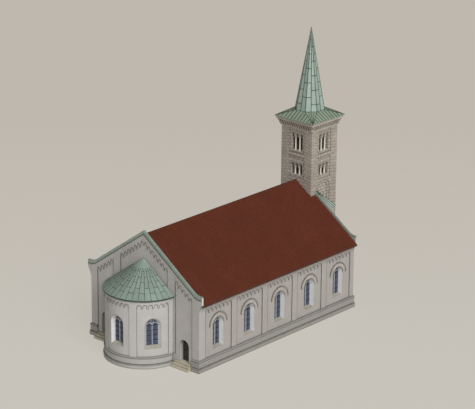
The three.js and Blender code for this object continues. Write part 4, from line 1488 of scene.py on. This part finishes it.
def upright_boards(edges, near, far, foot, top, place):
    """Upright boards side by side between a row of edges, with a gap between two of them."""
    half_gap, flat = BOARD_GAP / 2, 0 * edges[:-1]
    low = np.stack([edges[:-1] + half_gap, flat + near, flat + foot], 1)
    high = np.stack([edges[1:] - half_gap, flat + far, flat + top], 1)
    return blocks(low, high, place)


def door_planks(side, body):
    """Upright boards on the outer face of a leaf, three strap irons and a ring."""
    label = "right" if side > 0 else "left"
    face = -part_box(label + "_side_door")[0].y + FRONT
    edges = np.linspace(-DOOR_HALF + 0.02, DOOR_HALF - 0.02, BOARDS + 1)
    near, far = face - 0.001, face + 0.02
    place = lambda u, d, z: front_wall(side * (DOOR_CENTRE + u), d, z)
    boards = upright_boards(edges, near, far, BOARD_FOOT, BOARD_TOP, place)
    piece(label + "_door_boards", [boards], oak, body=body, bevel=0.006)
    straps = blocks(
        [[-0.45, far - 0.004, z] for z in STRAP_LEVELS],
        [[0.56, far + 0.012, z + STRAP_HEIGHT] for z in STRAP_LEVELS],
        place,
    )
    t = np.linspace(0, 2 * np.pi, 16, endpoint=False)
    centre = [HANDLE_SIDE, HANDLE_LEVEL]
    ring = centre + HANDLE_RADIUS * np.stack([np.cos(t), np.sin(t)], 1)
    handle = ribbon(ring, 0.016, far, far + 0.016, place, closed=True)
    piece(label + "_door_irons", [straps, handle], iron, body=body)


door_planks(1, "right_door")
door_planks(-1, "left_door")


# ---------- tower portal ----------
portal_place = tower_wall(2)
PORTAL_BOARDS, PORTAL_STRAPS = 11, (0.95, 1.75, 2.55)
portal_rings = [
    ring_stones(0, PORTAL_SPRING, PORTAL_OUT, 1.50, -0.02, 0.03, 17, 0.01, portal_place),
    ring_stones(0, PORTAL_SPRING, PORTAL_HALF, 1.04, -0.30, -0.19, 13, 0.01, portal_place),
]
piece("portal_rings", portal_rings, ring_stone, bevel=0.008)
edges = np.linspace(-PORTAL_HALF, PORTAL_HALF, PORTAL_BOARDS + 1)
widest = np.maximum(np.abs(edges[:-1]), np.abs(edges[1:]))
board_top = PORTAL_SPRING + np.sqrt(np.maximum(0.02, 0.80**2 - widest**2))
boards = upright_boards(edges, -0.36, -0.325, 0.53, board_top, portal_place)
piece("portal_boards", [boards], oak, bevel=0.006)
strap_places = [(s * 0.45, z) for s in (-1, 1) for z in PORTAL_STRAPS]
straps = blocks(
    [[x - 0.36, -0.33, z] for x, z in strap_places],
    [[x + 0.36, -0.312, z + 0.06] for x, z in strap_places],
    portal_place,
)
piece("portal_irons", [straps], iron)


# ---------- copings ----------
BEAD_SIZE = 0.045


def coping_line(edge, start, drop):
    """The line of a coping at a drop below its top: along the slope, a short sweep, then level."""
    level_z = RIDGE - SLOPE * COPING_LEVEL_FROM + edge["rise"] - drop
    t = np.linspace(0, 1, 7)
    x = COPING_LEVEL_FROM + COPING_SWEEP * (2 * t - 1)
    z = level_z + SLOPE * COPING_SWEEP * (1 - t) ** 2
    x = np.concatenate([[start], x, [edge["end"] - 0.004]])
    z = np.concatenate([[RIDGE - SLOPE * start + edge["rise"] - drop], z, [level_z]])
    return np.stack([x, z], 1)


def coping_beads(edge, place, start):
    """A roll of copper along the lower edge of a coping's face, right and left."""
    reach, line = edge["lip"], coping_line(edge, start, edge["depth"] - 0.02)
    return [
        ribbon(line * [side, 1], BEAD_SIZE, reach - 0.01, reach + 0.03, place) for side in (-1, 1)
    ]


beads = coping_beads(FRONT_COPING, front_wall, 0.0) + coping_beads(REAR_COPING, rear_wall, 2.0)
piece("coping_beads", beads, copper_seam)


def kneeler_stones(edge, place):
    """A pale stone on the end of each kneeler and a small moulded block under it."""
    level_z = RIDGE - SLOPE * COPING_LEVEL_FROM + edge["rise"]
    end, back = edge["end"], -edge["back"] + 0.01
    parts = []
    for side in (-1, 1):
        turned_place = lambda u, d, z, s=side: place(s * u, d, z)
        parts.append(
            blocks(
                [[end - 0.02, back, 6.87], [end - 0.05, back, 6.82]],
                [[end + 0.025, 0.0, level_z - 0.10], [end + 0.035, 0.012, 6.90]],
                turned_place,
            )
        )
    return parts


kneelers = kneeler_stones(FRONT_COPING, front_wall) + kneeler_stones(REAR_COPING, rear_wall)
piece("kneeler_stones", kneelers, reveal_plaster, bevel=0.006)

# ---------- annex roofs ----------
annex_sheets, annex_seams = [], []
ax, ay = TOWER_HALF + 0.0003, REAR + REAR_COPING["lip"] + 0.0003
peak = np.array([ax, ay, ANNEX_PEAK])
near_corner = np.array([ax + ANNEX_REACH, ay, ANNEX_EAVE])
far_corner = np.array([ax + ANNEX_REACH, ay + ANNEX_REACH, ANNEX_EAVE])
wall_corner = np.array([ax, ay + ANNEX_REACH, ANNEX_EAVE])
for a, b in ((near_corner, far_corner), (far_corner, wall_corner)):
    tip = peak + (b - a) * 0.02
    corners = [a, b, tip, peak]
    annex_sheets.append(sheets_on_face(corners, 4, 4.0, gap=0.04))
    annex_seams.append(seams_on_face(corners, 4, ends=True))
annex_sheets += [mirrored(p) for p in annex_sheets]
annex_seams += [mirrored(p) for p in annex_seams]
piece("annex_roof_sheets", annex_sheets, copper_sheet)
piece("annex_roof_seams", annex_seams, copper_seam)


# ---------- finishes of the frame's own pieces ----------
def finish_for(name):
    """The finish of a CAD node: the first word of this list that its name holds."""
    if name in ("apse_roof", "skirt_roof", "spire"):
        return copper_seam
    for word, finish in (
        ("window", leaded_glass),
        ("steps", pale_stone),
        ("_door", oak),
        ("coping", coping_copper),
        ("annex_roof", copper_sheet),
        ("nave_roof", roof_tile),
        ("apse_plinth", apse_base_stone),
        ("plinth", grey_stone),
        ("tower", tower_stone),
        ("floor", floor_stone),
        ("apse_wall", apse_plaster),
        ("front", gable_plaster),
    ):
        if word in name:
            return finish
    return wall_plaster


for name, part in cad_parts.items():
    part.data.materials.clear()
    part.data.materials.append(finish_for(name))

# ---------- floor and light ----------
FLOOR_SIZE = 900.0
FLOOR_GLOW_NEAR, FLOOR_GLOW_FAR = (0.52, 0.50, 0.45, 1.0), (0.455, 0.415, 0.365, 1.0)
FLOOR_BASE = (0.10, 0.098, 0.092, 1)
AIR_COLOUR, AIR_LIGHT = (1.0, 0.99, 0.97, 1), 0.14
SUN_POWER, SUN_SPREAD, SUN_COLOUR = 2.7, 40, (1.0, 0.98, 0.95)
SUN_FROM = (0.68, -0.39, 0.61)
floor_mesh = bpy.data.meshes.new("studio_floor")
grid = np.linspace(-FLOOR_SIZE, FLOOR_SIZE, 3)
gx, gy = np.meshgrid(grid, grid, indexing="ij")
corners = np.stack([gx, gy, 0 * gx - 0.002], -1).reshape(-1, 3)
quads = [[i, i + 3, i + 4, i + 1] for i in (0, 1, 3, 4)]
floor_mesh.from_pydata(corners, [], quads)
studio_floor = bpy.data.objects.new("studio_floor", floor_mesh)
bpy.context.scene.collection.objects.link(studio_floor)
pale = bpy.data.materials.new("glowing_pale_floor")
pale.use_nodes = True
floor_tree = pale.node_tree
floor_shader = floor_tree.nodes["Principled BSDF"]
floor_place = node(floor_tree, "ShaderNodeTexCoord").outputs["Object"]
# Painted light: the floor glows, brighter on the camera's side and darker far off, and the glow
# thins the shadows on it.
far_way = (-back[0], -back[1], 0.0)
away = vector_sum(floor_tree, "DOT_PRODUCT", floor_place, far_way).outputs["Value"]
distance = stretch(floor_tree, away, -35.0, 60.0)
glow = blend_colour(floor_tree, distance, FLOOR_GLOW_NEAR, FLOOR_GLOW_FAR)
floor_tree.links.new(glow, floor_shader.inputs["Emission Color"])
floor_shader.inputs["Emission Strength"].default_value = 1.0
floor_shader.inputs["Base Color"].default_value = FLOOR_BASE
floor_shader.inputs["Roughness"].default_value = 1.0
floor_shader.inputs["Specular IOR Level"].default_value = 0.0
floor_mesh.materials.append(pale)

world = bpy.data.worlds.new("studio_air")
world.use_nodes = True
air = world.node_tree.nodes["Background"].inputs
air["Color"].default_value, air["Strength"].default_value = AIR_COLOUR, AIR_LIGHT
bpy.context.scene.world = world

sun = bpy.data.objects.new("key_light", bpy.data.lights.new("key_light", "SUN"))
sun.data.energy = SUN_POWER
sun.data.angle = np.radians(SUN_SPREAD)
sun.data.color = SUN_COLOUR
sun.rotation_euler = Vector(SUN_FROM).to_track_quat("Z", "Y").to_euler()
bpy.context.scene.collection.objects.link(sun)
bpy.context.scene.view_settings.view_transform = "Standard"
